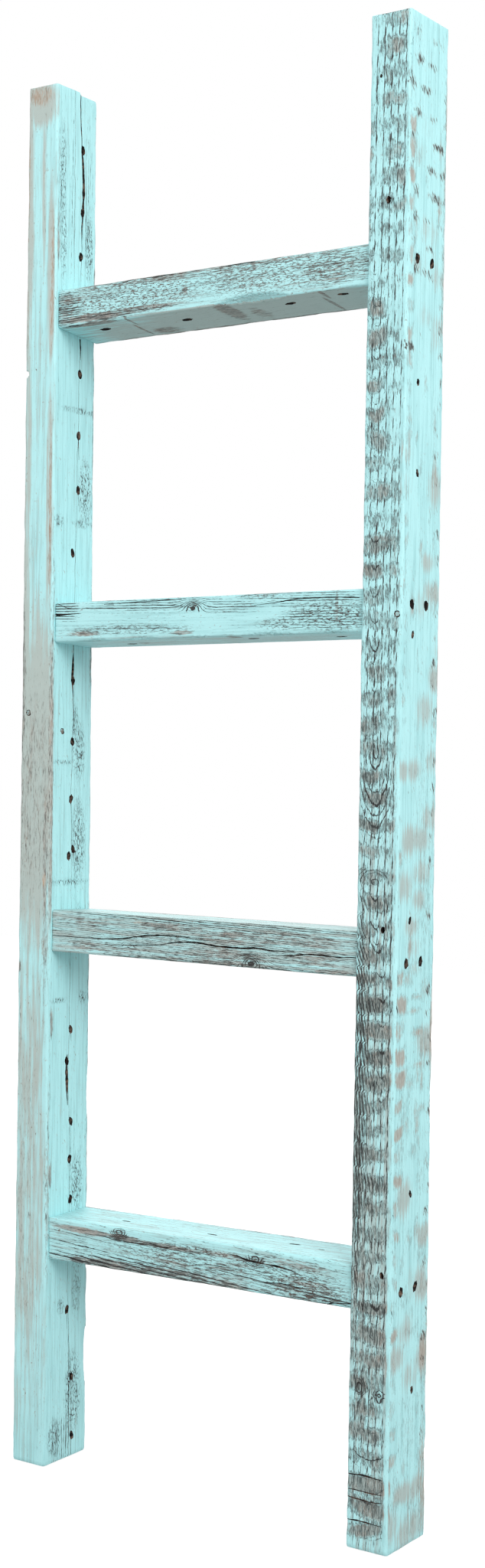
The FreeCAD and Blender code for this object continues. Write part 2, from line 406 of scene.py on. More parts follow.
def clefts(name, lines, inward, across, finish, step=0.006, jitter=0.0003, seed=1):
    """Open cracks as one cutter: narrow Vs that follow their lines, as thin as the lines say.

    Each line is a list of (x, y, z, half width, depth)."""
    random = np.random.default_rng(seed)
    inward, across = np.array(inward, float), np.array(across, float)
    above, mouth, foot = 0.002, 1.4, 0.25
    stacks = []
    for line in lines:
        line = np.array(line, float)
        run = np.concatenate([[0], np.cumsum(np.linalg.norm(np.diff(line[:, :3], axis=0), axis=1))])
        at = np.linspace(0, run[-1], max(int(run[-1] / step), 2))
        course = np.stack([np.interp(at, run, line[:, i]) for i in range(5)], axis=1)
        wobble = np.convolve(random.normal(0, 1, len(at) + 4), np.ones(5) / 5, "valid") * jitter * 2
        ragged = random.uniform(0.7, 1.3, len(at))
        stack = []
        for (x, y, z, half, depth), shift, rough in zip(course, wobble, ragged):
            centre = np.array((x, y, z)) + across * shift
            half = half * rough
            top = centre - inward * above
            root = centre + inward * depth
            stack.append([top - across * half * mouth, top + across * half * mouth,
                          root + across * half * foot, root - across * half * foot])
        stacks.append(stack)
    return closed_stacks(name, stacks, finish)


def nail_seat(name, place, inward):
    """The shallow dent that a nail's head was driven into."""
    return holes(name, [(*place, 1.0)], inward, upwards, hole_wood_and_shade, radius=0.0026, depth=0.0016,
                 tail=1.05, narrowing=0.92, seed=3)


def planed_off(mesh, place, outward, along, length, depth, rough, seed):
    """Takes a long shallow scoop off an arris, ragged by the amount that rough gives."""
    points = points_of(mesh)
    random = np.random.default_rng(seed)
    outward = np.array(outward, float) / np.linalg.norm(outward)
    offset = points - np.array(place, float)
    share = offset[:, along] / (length / 2)
    level = -depth * (1 - share ** 2) + rough * random.uniform(-1, 1, len(points))
    over = offset @ outward - level
    low = (np.abs(share) < 1) & (over > 0)
    points[low] -= over[low, None] * outward
    put_points(mesh, points)


def nicked(post, nicks, face_at, arris_y, outward, seed, rough=0.0002):
    """Takes nicks off one arris of a post, which lies at face_at(height) in x and at arris_y.

    Each nick is (height, length, depth)."""
    for number, (height, length, depth) in enumerate(nicks):
        planed_off(post.data, (face_at(height), arris_y, height), outward, z_axis, length, depth,
                   rough, seed + number)


mark_kinds = ("rings", "open", "rub", "fresh", "crackle", "chatter", "scored", "thin")


def keep_marks(mesh, **marks):
    """Stores, for each point, all the marks that the painted finish reads; one not given is nought."""
    for kind in mark_kinds:
        values = marks.get(kind, np.zeros(len(mesh.vertices)))
        layer = mesh.attributes.new(kind, "FLOAT", "POINT")
        layer.data.foreach_set("value", np.asarray(values, np.float32))


def smoothed(mesh, crease):
    """Shades a mesh smoothly and keeps the edges that turn by more than the crease, in degrees."""
    mesh.shade_smooth()
    mesh.set_sharp_from_angle(angle=radians(crease))


def spots(mm, axis, level, places, reach=3.0, edge=0.35):
    """Soft-edged ovals on one face, as a number from 0 to 1 for each point.

    axis and level (mm) pick the face; each place is (first, second, half first, half second,
    strength) in the face's two other axes, in millimetres."""
    free = [i for i in range(3) if i != axis]
    near = np.abs(mm[:, axis] - level) < reach
    value = np.zeros(len(mm))
    for first, second, half_first, half_second, strength in places:
        u = (mm[:, free[0]] - first) / half_first
        v = (mm[:, free[1]] - second) / half_second
        soft = np.clip((1 + edge / 2 - np.sqrt(u ** 2 + v ** 2)) / edge, 0, 1)
        value = np.where(near, np.maximum(value, strength * soft), value)
    return value


def scattered(mm, axis, level, grain, count, halves, strength, seed, reach=4.0):
    """Worn ovals strewn over one whole face; halves are their half sizes across and along it."""
    random = np.random.default_rng(seed)
    half_across, half_along = halves
    face = mm[np.abs(mm[:, axis] - level) < reach]
    low, high = face.min(axis=0), face.max(axis=0)
    free = [i for i in range(3) if i != axis]
    places = []
    for _ in range(count):
        centre = random.uniform(low, high)
        halves = [random.uniform(0.5, 1.0) * (half_along if i == grain else half_across) for i in free]
        places.append((centre[free[0]], centre[free[1]], *halves, strength * random.uniform(0.6, 1.1)))
    return spots(mm, axis, level, places, reach=reach, edge=1.2)


def growth_rings(mm, grain, heart, knots=(), saw_depths=None):
    """How many millimetres of growth each point is from the tree's heart.

    heart is a few (along, across, deep) places of the heart, and grain the axis it follows. Knots
    are (x, y, z, size) swirls. saw_depths is [(along, depth), ...]: each pass of the saw cut a
    little deeper than the last, so the growth lines end in a row of arches."""
    across_axis = x_axis if grain == z_axis else z_axis
    heart = np.array(sorted(heart), float)
    along = mm[:, grain]
    off_across = mm[:, across_axis] - np.interp(along, heart[:, 0], heart[:, 1])
    off_deep = mm[:, y_axis] - np.interp(along, heart[:, 0], heart[:, 2])
    if saw_depths:
        depth = np.interp(along, *np.array(saw_depths, float).T)
        off_deep = off_deep - depth * (1 - (along - first_row) / row_pitch % 1)
    rings = np.hypot(off_across, off_deep)
    for x, y, z, size in knots:
        away = (mm - np.array((x, y, z))) / size
        away[:, grain] /= 1.8
        rings = rings + 1.6 * size * np.exp(-np.sum(away ** 2, axis=1))
    return rings


def saw_hollows(mm, axis, level, zones, seed, reach=3.0):
    """Worn patches in the hollows between saw ridges, one row of patches to each ridge.

    Each zone is (from height, to height, [(place, half width, strength), ...]) in millimetres. A
    patch falls off from its middle, so that the finish can end it in a ragged outline."""
    random = np.random.default_rng(seed)
    near = np.abs(mm[:, axis] - level) < reach
    across = mm[:, y_axis if axis == x_axis else x_axis]
    turn = (mm[:, z_axis] - first_row) / row_pitch
    value = np.zeros(len(mm))
    for low, high, patches in zones:
        first, last = (int(np.ceil((height - first_row) / row_pitch)) for height in (low, high))
        for row in range(first, last):
            for place, half, strength in patches:
                centre = place + random.normal(0, half * 0.2)
                half_here = half * random.uniform(0.75, 1.2)
                strong = strength * random.uniform(0.5, 1.15)
                middle = random.uniform(0.36, 0.54)
                tall = random.uniform(0.24, 0.42)
                bow, tilt = random.uniform(0.0, 0.22), random.normal(0, 0.08)
                u = (across - centre) / half_here
                sagging = middle + bow * np.minimum(u ** 2, 2.0) + tilt * np.clip(u, -1.5, 1.5)
                v = np.abs((turn - row - sagging) / tall)
                u = np.abs(u)
                away = (u ** 2.6 + v ** 2.6) ** (1 / 2.6)
                value = np.where(near, np.maximum(value, strong * np.clip(1.6 - away, 0, 1)), value)
    return value


def layered(tree, colour, *layers):
    """A colour with others over it; each layer is its share, from 0 to 1, and its colour."""
    for share, over in layers:
        colour = add(tree, "ShaderNodeMix", {
            "Factor_Float": share, "A_Color": colour, "B_Color": over},
            out="Result_Color", data_type="RGBA")
    return colour


def weathered_paint(name, grain, ring_width, seed, wear=0.0, openness=0.0, fibres=0.5,
                    outline=0.0, scores=None, shades=None):
    """Thin turquoise chalk paint, brushed on old sawn pine and rubbed back.

    grain is the axis of the timber's length, ring_width the millimetres between growth lines.
    wear, openness and fibres say how bare, how open-grained and how fibrous it is all over; the
    point attributes add to them where a place is worn. outline darkens the edge of worn patches,
    and scores is (place, spacing) of scored lines along the timber. The eye gets a matt, slightly
    uneven colour, dark open growth lines, brown rubbed wood and fine streaks along the grain. The
    dark teal of the growth lines and fibres is painted shade inside their grooves, and the dull
    paint is partly painted shade on the rungs' undersides."""
    # The groove tone is painted shade inside grooves, not a colour of the paint or the wood.
    tone = {
        "paint": "#b7ecef", "thin paint": "#a1d7da", "dull paint and painted shade": "#acbebb", "light wood": "#b0aca6",
        "grey wood": "#8b908d", "brown wood": "#988479", "dark wood": "#585653", "painted groove shade": "#4e5c5c",
        "crack": "#221f1e", "flake": "#3a3b39", "fresh wood": "#cda582",
    }
    tone = {part: chip(code) for part, code in {**tone, **(shades or {})}.items()}
    made, tree = bare_material(name)

    here = add(tree, "ShaderNodeTexCoord", out="Object")
    mm = add(tree, "ShaderNodeVectorMath", {"Vector": here, "Scale": 1000.0}, operation="SCALE")
    x, y, z = add(tree, "ShaderNodeSeparateXYZ", [mm]).node.outputs
    across, deep, along = (x, y, z) if grain == z_axis else (z, y, x)
    place = add(tree, "ShaderNodeCombineXYZ", [across, deep, along])
    own = add(tree, "ShaderNodeVectorMath", [place, (seed * 37.0, seed * 53.0, seed * 211.0)],
              operation="ADD")

    def streaks(width, length, detail, roughness=0.5):
        """Soft noise with features this many millimetres across and along the grain."""
        scaled = add(tree, "ShaderNodeVectorMath", [own, (1 / width, 1 / width, 1 / length)],
                     operation="MULTIPLY")
        return add(tree, "ShaderNodeTexNoise", {
            "Vector": scaled, "Scale": 1.0, "Detail": detail, "Roughness": roughness})

    def between(value, low, high, to_low=0.0, to_high=1.0):
        """Goes softly from one level to the other as the value goes from low to high."""
        return add(tree, "ShaderNodeMapRange", {
            "Value": value, "From Min": low, "From Max": high, "To Min": to_low, "To Max": to_high},
            interpolation_type="SMOOTHSTEP")

    def sums(first, *terms):
        """first plus each (value, times) pair."""
        total = first
        for value, times in terms:
            total = add(tree, "ShaderNodeMath", [value, times, total], operation="MULTIPLY_ADD")
        return total

    mark = {kind: add(tree, "ShaderNodeAttribute", out="Fac", attribute_name=kind)
            for kind in mark_kinds}
    fibre = streaks(0.8, 14.0, 3.0, 0.6)
    streak = streaks(2.4, 60.0, 3.0)
    blotch = streaks(9.0, 22.0, 3.0)
    dash = streaks(1.6, 7.0, 2.0)
    fine = streaks(0.5, 3.0, 2.0)
    fray = streaks(0.9, 5.5, 3.0, 0.65)

    # Growth lines: dark open grain on the ring's soft side, wider where the saw tore it. Their
    # dark teal is painted shade inside the groove, and where they open most they turn to the
    # near-black of dark bare wood. Each line has a strength of its own, as summers differ.
    ring_at = sums(mark["rings"], (blotch, 1.0), (streak, 1.2), (dash, 0.5))
    ring_count = add(tree, "ShaderNodeMath", [ring_at, ring_width], operation="DIVIDE")
    ring = add(tree, "ShaderNodeMath", [ring_count, 0.5], operation="PINGPONG")
    number = add(tree, "ShaderNodeMath", [ring_count], operation="ROUND")
    summer = add(tree, "ShaderNodeTexWhiteNoise", {"W": number}, noise_dimensions="1D")
    open_here = sums(openness, (mark["open"], 0.8), (fray, 1.3), (streak, 0.5), (summer, 0.5))
    width = between(open_here, 1.25, 2.4, -0.045, 0.17)
    edge_of_line = sums(ring, (width, -1.0), (fine, 0.16))
    line = between(edge_of_line, 0.12, 0.06)
    strong_line = between(open_here, 1.55, 2.1, 0.0, 0.9)

    # Scored lines: straight and thin, with darker dashes where the saw's passes overlap.
    if scores:
        first, spacing = scores
        off = sums(across, (blotch, 1.6), (streak, 1.4))
        scored_at = add(tree, "ShaderNodeMath", [off, first], operation="SUBTRACT")
        score_count = add(tree, "ShaderNodeMath", [scored_at, spacing], operation="DIVIDE")
        score = add(tree, "ShaderNodeMath", [score_count, 0.5], operation="PINGPONG")
        score_open = sums(mark["scored"], (dash, 1.5), (fray, 0.6))
        score_width = between(score_open, 1.0, 2.4, -0.03, 0.10)
        edge_of_score = sums(score, (score_width, -1.0), (fine, 0.05))
        cut = between(edge_of_score, 0.042, 0.018)
        line = add(tree, "ShaderNodeMath", [line, cut], operation="MAXIMUM")
        strong_cut = between(score_open, 1.55, 2.0)
        cut_and_strong = add(tree, "ShaderNodeMath", [cut, strong_cut], operation="MULTIPLY")
        strong_line = add(tree, "ShaderNodeMath", [strong_line, cut_and_strong], operation="MAXIMUM")

    # Fine fibres between the growth lines, darkened with painted groove shade.
    fibre_amount = sums(fibres * 0.12, (mark["open"], 0.07), (mark["scored"], 0.05), (fibre, 0.6),
                        (fray, 0.4))
    shaded_fibres = between(fibre_amount, 0.65, 0.77, 0.0, 0.65)

    # Rubbed places, down to brown or grey wood; a patch's edge is darker where an outline is asked.
    bare_here = sums(wear, (mark["rub"], 0.62), (fray, 0.7), (fibre, 0.35), (fine, 0.2),
                     (blotch, 0.2), (streak, 0.3))
    bare = between(bare_here, 1.14, 1.44, 0.0, 0.9)
    from_edge = add(tree, "ShaderNodeMath", [bare_here, 1.16], operation="SUBTRACT")
    edge_off = add(tree, "ShaderNodeMath", [from_edge], operation="ABSOLUTE")
    outlined = sums(between(dash, 0.38, 0.55, 0.0, outline), (mark["fresh"], -outline))
    rim = add(tree, "ShaderNodeMath", [between(edge_off, 0.10, 0.03), outlined],
              operation="MULTIPLY", use_clamp=True)

    # Saw chatter: short slanting ticks in rows across the face.
    lean = add(tree, "ShaderNodeMath", [along, 0.45, deep], operation="MULTIPLY_ADD")
    tick_place = add(tree, "ShaderNodeCombineXYZ", [across, lean, along])
    tick_scaled = add(tree, "ShaderNodeVectorMath", [tick_place, (0.5, 0.62, 0.16)],
                      operation="MULTIPLY")
    ticks = add(tree, "ShaderNodeTexNoise", {"Vector": tick_scaled, "Scale": 1.0, "Detail": 2.0})
    torn_here = sums(ticks, (mark["chatter"], 0.3), (blotch, 0.25), (dash, 0.3))
    smear = between(torn_here, 0.93, 1.08, 0.0, 0.55)
    tick = between(torn_here, 1.05, 1.13)

    # Crackle: small crazed flakes beside the split and the knots.
    cell_place = add(tree, "ShaderNodeVectorMath", [own, (0.6, 0.6, 0.2)], operation="MULTIPLY")
    cells = add(tree, "ShaderNodeTexVoronoi", {"Vector": cell_place, "Scale": 1.0},
                feature="DISTANCE_TO_EDGE")
    broken = add(tree, "ShaderNodeMath", [between(cells, 0.17, 0.05), between(fray, 0.45, 0.57)],
                 operation="MULTIPLY")
    crazed = add(tree, "ShaderNodeMath", [broken, mark["crackle"]], operation="MULTIPLY",
                 use_clamp=True)

    # The wood, the coat of paint, and what wear has done to both. On a rung's underside the
    # dull paint is partly painted shade.
    darkness = sums(fibre, (fray, 0.5), (mark["open"], 0.07))
    thin_and_shade_here = sums(mark["thin"], (streak, 1.3), (blotch, 0.3), (fibre, 0.4))
    wood = layered(
        tree, tone["grey wood"], (between(blotch, 0.45, 0.62), tone["brown wood"]),
        (between(fine, 0.40, 0.62), tone["light wood"]),
        (between(darkness, 0.73, 0.88), tone["dark wood"]), (mark["fresh"], tone["fresh wood"]))
    coat = layered(
        tree, tone["paint"], (between(streak, 0.40, 0.75), tone["thin paint"]),
        (between(thin_and_shade_here, 1.2, 1.8), tone["dull paint and painted shade"]), (shaded_fibres, tone["painted groove shade"]))
    # Growth lines take painted groove shade, going to the near-black of dark bare wood where they open most.
    groove_shade_and_crack = layered(tree, tone["painted groove shade"], (strong_line, tone["crack"]))
    colour = layered(
        tree, coat, (bare, wood), (rim, tone["dark wood"]), (line, groove_shade_and_crack),
        (smear, tone["brown wood"]), (tick, tone["dark wood"]), (crazed, tone["flake"]))

    low = add(tree, "ShaderNodeMath", [line, -0.5], operation="MULTIPLY")
    height = sums(low, (tick, -0.4), (crazed, -0.4), (shaded_fibres, -0.12), (bare, -0.06), (fibre, 0.1))
    relief = add(tree, "ShaderNodeBump", {"Height": height, "Distance": 0.001, "Strength": 0.9})
    rough = add(tree, "ShaderNodeMapRange", {"Value": bare, "To Min": 0.62, "To Max": 0.85})
    surface = add(tree, "ShaderNodeBsdfPrincipled", {
        "Base Color": colour, "Roughness": rough, "Normal": relief, "IOR": 1.45})
    add(tree, "ShaderNodeOutputMaterial", {"Surface": surface})
    return made


# Raw softwood inside the old holes, splits and cracks: unpainted, with dark patches that are
# partly stain from rusted nails and partly painted shade in these recesses.
hole_wood_and_shade, tree = bare_material("raw pine with rust stain and painted shade")
here = add(tree, "ShaderNodeTexCoord", out="Object")
stain_and_shade = add(tree, "ShaderNodeTexNoise", {"Vector": here, "Scale": 260.0, "Detail": 3.0})
# The ramp's near-black end is partly rust stain and partly painted shade; its tan end is the raw wood.
ramp = tree.nodes.new("ShaderNodeValToRGB")
for stop, position, colour in zip(ramp.color_ramp.elements, (0.47, 0.66), ("#1d1614", "#8a7263")):
    stop.position = position
    stop.color = chip(colour)
tree.links.new(stain_and_shade, ramp.inputs["Fac"])
surface = add(tree, "ShaderNodeBsdfPrincipled", {"Base Color": ramp.outputs["Color"], "Roughness": 0.9})
add(tree, "ShaderNodeOutputMaterial", {"Surface": surface})

# The rungs' upper faces and how far below them the screws go in, which the posts' bores follow.
rung_shapes = {
    "bottom_rung": {"top": 0.2280, "front": 0.0375, "top_drop": -0.0005, "under_drop": -0.0005,
                    "climb": 0.006, "screw_drop": 0.020},
    "lower_rung": {"top": 0.4995, "front": 0.0370, "top_drop": 0.002, "under_drop": 0.001,
                   "climb": 0.0, "screw_drop": 0.0245},
    "upper_rung": {"top": 0.7710, "front": 0.0345, "top_drop": 0.0005, "under_drop": 0.0025,
                   "climb": 0.003, "screw_drop": 0.0125},
    "top_rung": {"top": 1.0425, "front": 0.0325, "top_drop": 0.0005, "under_drop": 0.0055,
                 "climb": 0.0025, "screw_drop": 0.014},
}
screw_depths = (-0.0155, 0.008)
recess_radius = 0.0034
recess_depth = 0.007


def outer_face(side, height):
    """Where a post's outer face is, at one height."""
    section, inner = (left_post_section, left_inner) if side < 0 else (right_post_section, right_inner)
    taper = section["head"][0] - section["foot"][0]
    return inner + side * (section["foot"][0] + taper * height / post_height)


def screw_seats(shape, side):
    """The bottoms of a rung end's two recesses, where the screw heads sit."""
    height = shape["top"] + side * shape["climb"] / 2 - shape["screw_drop"]
    return [(outer_face(side, height) - side * recess_depth, y, height) for y in screw_depths]


def screw_recesses(side):
    """The eight recesses in one post's outer face, as one cutter."""
    places = []
    for shape in rung_shapes.values():
        for x, y, z in screw_seats(shape, side):
            places.append((x + side * recess_depth, y, z, 1.0))
    return holes("recesses", places, (-side, 0, 0), upwards, hole_wood_and_shade,
                 radius=recess_radius, depth=recess_depth, tail=1.25, narrowing=0.97, seed=11)


timber_tree = sawn_timber_tree()

# The right post shows its saw cuts most. Going up, its growth lines run in dark dashes, bend
# into arches and crescents, and open into long straight cracks.
right_finish = weathered_paint(
    "worn turquoise paint on the sawn right post", z_axis, ring_width=2.5, seed=1, openness=-0.06,
    outline=0.8, scores=(163.7, 6.45),
    shades={"light wood": "#adb7b3", "grey wood": "#87918e", "brown wood": "#90847a",
            "dark wood": "#4a4f4d", "fresh wood": "#b9aca0"})
right_size = (0.0373, 0.061, post_height)
right_back = 0.0300
right_post = cut_from(timber_tree, "right_post_worn", {
    "Width": right_size[0], "Depth": right_size[1], "Length": right_size[2],
    "Front Saw Depth": 0.00035, "Side Saw Depth": 0.00012, "Seed": 1.0,
    "Finish": right_finish, **post_cells})
set_to_outline(right_post.data, right_size, post_corners(right_inner, 1, right_post_section))
back_nicks = [
    (0.362, 0.060, 0.0016), (0.300, 0.030, 0.0012), (0.415, 0.024, 0.0014), (0.560, 0.040, 0.001),
    (0.690, 0.050, 0.0009), (0.835, 0.036, 0.0011), (0.990, 0.060, 0.0009), (0.120, 0.050, 0.0013),
    (0.070, 0.026, 0.0015), (1.130, 0.040, 0.0010)]
front_bites = [
    (0.7395, 0.012, 0.0012), (0.7185, 0.010, 0.0012), (0.583, 0.016, 0.0010), (0.452, 0.014, 0.001)]
nicked(right_post, back_nicks, lambda height: outer_face(1, height), right_back, (1, 1, 0), seed=30)
nicked(right_post, front_bites, lambda height: outer_face(1, height), post_front, (1, -1, 0), seed=50)

# Near its foot the front steps in and out in blocks, as the saw left it. The strip along the
# outer arris stays level.
block_levels = [
    (0.0, 0.0), (0.012, 0.0), (0.0185, -0.0009), (0.0225, -0.0009), (0.0243, 0.0002),
    (0.040, -0.0010), (0.0425, 0.0), (0.0475, -0.0004), (0.0492, 0.0003), (0.0595, -0.0009),
    (0.0612, 0.0), (0.07, 0.0)]
block_edge = 0.190
points = points_of(right_post.data)
heights, sinks = np.array(block_levels).T
at_front = np.clip((post_front + 0.002 - points[:, y_axis]) / 0.001, 0, 1)
at_front = at_front * (points[:, x_axis] < block_edge)
points[:, y_axis] -= np.interp(points[:, z_axis], heights, sinks) * at_front
put_points(right_post.data, points)

outer_holes = [(-11.5, 934), (-10, 863), (-13.5, 736), (-10.5, 509), (-2.5, 288), (5, 127)]
front_holes = [(165.5, 1171, 0.5), (174.5, 1074, 0.95), (180.5, 502, 0.9), (185, 226, 0.9)]
saw_steps = [
    [(0.157, post_front, z, 0.0006, 0.0014), (0.172, post_front, z + rise, 0.0009, 0.0016),
     (0.1885, post_front, z + 0.0004, 0.0004, 0.001)]
    for z, rise in ((0.0604, 0.0012), (0.048, 0.0), (0.0418, -0.0006), (0.0231, 0.0008))]
bored(
    right_post,
    screw_recesses(1),
    holes("outer nail holes",
          [(outer_face(1, z / 1000), y / 1000, z / 1000, 1.0) for y, z in outer_holes],
          leftwards, upwards, hole_wood_and_shade, seed=12),
    holes("front nail holes", [(x / 1000, post_front, z / 1000, size) for x, z, size in front_holes],
          backwards, upwards, hole_wood_and_shade, seed=13),
    nail_seat("front nail seat", right_front_nail, backwards),
    clefts("saw steps", saw_steps, backwards, upwards, hole_wood_and_shade, step=0.0025, seed=2),
)

# What the right post's finish reads, face by face, in millimetres.
mm = points_of(right_post.data) * 1000
front_level, right_back_level = post_front * 1000, right_back * 1000
right_inner_level, outer_level = right_inner * 1000, 193.2
right_heart = [
    (0, 176, 24), (62, 176, 10), (110, 177, -12), (284, 183, -26), (460, 181, -28), (500, 174, -29),
    (540, 172, -28), (560, 172, -6), (640, 171, -28), (700, 169, -29), (850, 167, -29),
    (1000, 166, -29), (1050, 158, -29), (1219, 156, -22)]
right_knots = [(167, -31, 133, 5.0), (184, -31, 128, 4.0), (174, -31, 1074, 4.0)]
saw_depths = [
    (0, 1.5), (284, 5.0), (480, 8.0), (530, 8.0), (545, 0.5), (650, 0.5), (700, 6.0), (850, 10.0),
    (1040, 10.0), (1120, 8.0), (1160, 1.0), (1219, 0.4)]
soft_patches = saw_hollows(mm, y_axis, front_level, [
    (1130, 1215, [(184, 9, 0.82), (174, 7, 0.7), (164, 6, 0.4)]),
    (1020, 1130, [(184, 8, 0.8), (157, 4, 1.0), (173, 7, 0.65)]),
    (840, 1020, [(166, 10, 0.82), (184, 7, 0.45)]),
    (640, 840, [(168, 13, 0.88), (186, 5, 0.65)]),
    (450, 640, [(168, 13, 0.92), (186, 6, 0.85)]),
    (284, 450, [(178, 15, 1.15), (163, 8, 0.95)]),
    (60, 284, [(177, 15, 1.02), (164, 8, 0.85)]),
    (0, 60, [(174, 22, 1.2)]),
], seed=5)
edge_ovals = saw_hollows(mm, x_axis, outer_level, [
    (860, 1130, [(-26, 5, 0.85)]),
    (640, 860, [(-26, 4, 0.55)]),
    (280, 470, [(-24, 8, 0.95)]),
    (60, 280, [(-26, 6, 0.8)]),
], seed=6)
outer_wear = spots(mm, x_axis, outer_level, [
    (22, 155, 7, 19, 1.0), (29, 415, 3, 60, 0.9), (29, 160, 3, 60, 0.9), (29, 1140, 3, 70, 0.8),
    (28, 1010, 4, 50, 0.7), (29, 700, 2.5, 80, 0.6), (24, 60, 9, 40, 0.75), (27, 30, 7, 30, 0.85),
    (-20, 330, 8, 50, 0.5), (4, 447, 11, 3, 0.75), (-2, 436, 13, 3, 0.7), (6, 418, 15, 4, 0.75),
    (8, 392, 14, 4, 0.7), (-12, 462, 9, 7, 0.7), (16, 452, 8, 12, 0.6), (-4, 470, 14, 8, 0.6),
    (18, 404, 9, 16, 0.5), (-6, 378, 11, 7, 0.65), (12, 356, 14, 5, 0.6), (-10, 345, 8, 12, 0.6),
    (2, 322, 12, 7, 0.5), (14, 300, 9, 16, 0.5), (-4, 252, 9, 7, 0.5), (18, 236, 9, 12, 0.5),
    (-10, 205, 8, 12, 0.5), (4, 176, 14, 4, 0.55), (0, 90, 16, 40, 0.4), (-20, 44, 9, 18, 0.6),
    (10, 24, 12, 20, 0.5), (-15, 1026, 6, 9, 0.7), (-14, 757, 6, 9, 0.7), (12, 600, 20, 60, 0.35),
    (14, 520, 14, 40, 0.45)], edge=1.6)
torn_patches = saw_hollows(mm, y_axis, front_level, [
    (1140, 1215, [(176, 16, 0.3)]),
    (840, 1140, [(168, 16, 0.6)]),
    (640, 840, [(170, 16, 0.8)]),
    (450, 540, [(172, 18, 0.9)]),
    (235, 450, [(175, 18, 1.1)]),
    (60, 235, [(174, 17, 0.9)]),
    (0, 60, [(175, 18, 1.1)]),
], seed=7)
long_lines = spots(mm, y_axis, front_level, [
    (160, 370, 8, 150, 1.5), (172, 612, 17, 44, 0.9), (166, 940, 11, 130, 0.5),
    (167, 133, 6, 7, 2.0), (184, 128, 6, 5, 1.8)], edge=0.6)

# A strip along the front's outer arris kept its paint, with a wavy edge.
strip_width, strip_wave = 3.2, 0.9
on_front = (mm[:, y_axis] - front_level < 1.2) * 1.0
in_strip = mm[:, x_axis] - outer_level + strip_width + strip_wave * np.sin(mm[:, z_axis] / 9.0)
clean_strip = np.clip(in_strip / 1.5, 0, 1) * on_front
off_strip = 1 - clean_strip

# Torn grain on the outer face, in ticks on the saw's rows: all the way up along the back arris,
# and elsewhere only in the upper part.
random = np.random.default_rng(41)


def torn_tick(place, height, half_across, half_along, strength):
    """One tick of torn grain; place, half_across and strength are drawn from a range each."""
    return (random.uniform(*place), height, random.uniform(*half_across), half_along,
            random.uniform(*strength))


torn_rows = []
for height in np.arange(66.0, 1215.0, row_pitch):
    high_up = float(np.interp(height, [850, 1100], [0.0, 1.0]))
    torn_rows.append(torn_tick((20, 28), height, (3, 6), 5.0, (0.4, 1.0)))
    if random.uniform() < high_up:
        torn_rows.append(torn_tick((-26, -16), height + 1, (4, 8), 5.0, (0.7, 1.1)))
    if random.uniform() < high_up:
        torn_rows.append(torn_tick((-8, 14), height, (6, 12), 4.0, (0.6, 1.0)))
torn = spots(mm, x_axis, outer_level, torn_rows, reach=4.0, edge=1.0)

on_outer = np.abs(mm[:, x_axis] - outer_level) < 4.0
dull_outer = scattered(mm, x_axis, outer_level, z_axis, count=46, halves=(20, 16), strength=0.85, seed=69)
dull_outer *= np.interp(mm[:, z_axis], [0, 300, 640, 1219], [0.8, 1.0, 1.0, 0.3]) * on_outer
faint_wear = scattered(mm, x_axis, outer_level, z_axis, count=60, halves=(5, 16), strength=0.62, seed=70)
back_wear = np.maximum(
    scattered(mm, y_axis, right_back_level, z_axis, count=34, halves=(8, 50), strength=0.85, seed=71),
    scattered(mm, x_axis, right_inner_level, z_axis, count=26, halves=(8, 45), strength=0.75, seed=72))
back_grain = np.maximum(
    scattered(mm, y_axis, right_back_level, z_axis, count=16, halves=(12, 130), strength=1.0, seed=73),
    scattered(mm, x_axis, right_inner_level, z_axis, count=14, halves=(12, 110), strength=0.9, seed=74))
row_wave = np.cos(2 * pi * (mm[:, z_axis] - first_row) / row_pitch)
scored = np.interp(mm[:, z_axis], [0, 100, 300, 840, 1219], [0.2, 0.5, 0.55, 0.5, 0.6])
thin_front = np.interp(mm[:, z_axis], [0, 100, 250, 600, 850, 1219], [0.35, 0.4, 0.6, 0.35, 0.12, 0.08])
keep_marks(
    right_post.data,
    rings=growth_rings(mm, z_axis, right_heart, right_knots, saw_depths),
    rub=np.maximum.reduce([soft_patches, outer_wear, edge_ovals, faint_wear, back_wear]) * off_strip,
    open=np.maximum.reduce([torn_patches, long_lines, back_grain]) * off_strip,
    scored=(scored + 0.35 * np.clip(row_wave, 0, 1)) * on_front,
    thin=np.maximum(thin_front * on_front, dull_outer) * (1 - 0.8 * clean_strip),
    fresh=0.6 * on_outer,
    chatter=torn)

# The left post is planed smoother. Its front is rubbed to grey wood below the middle, and a
# long split runs down its inner face through a row of old nail holes.
left_finish = weathered_paint(
    "worn turquoise paint on the planed left post", z_axis, ring_width=2.4, seed=2,
    shades={"dull paint and painted shade": "#b4c2bd", "brown wood": "#a08e80", "fresh wood": "#d2ae8e"})
left_size = (0.0343, 0.0585, post_height)
left_back = 0.0275
left_post = cut_from(timber_tree, "left_post_worn", {
    "Width": left_size[0], "Depth": left_size[1], "Length": left_size[2],
    "Front Saw Depth": 0.0001, "Side Saw Depth": 0.0001, "Seed": 2.0,
    "Finish": left_finish, **post_cells})
set_to_outline(left_post.data, left_size, post_corners(left_inner, -1, left_post_section))

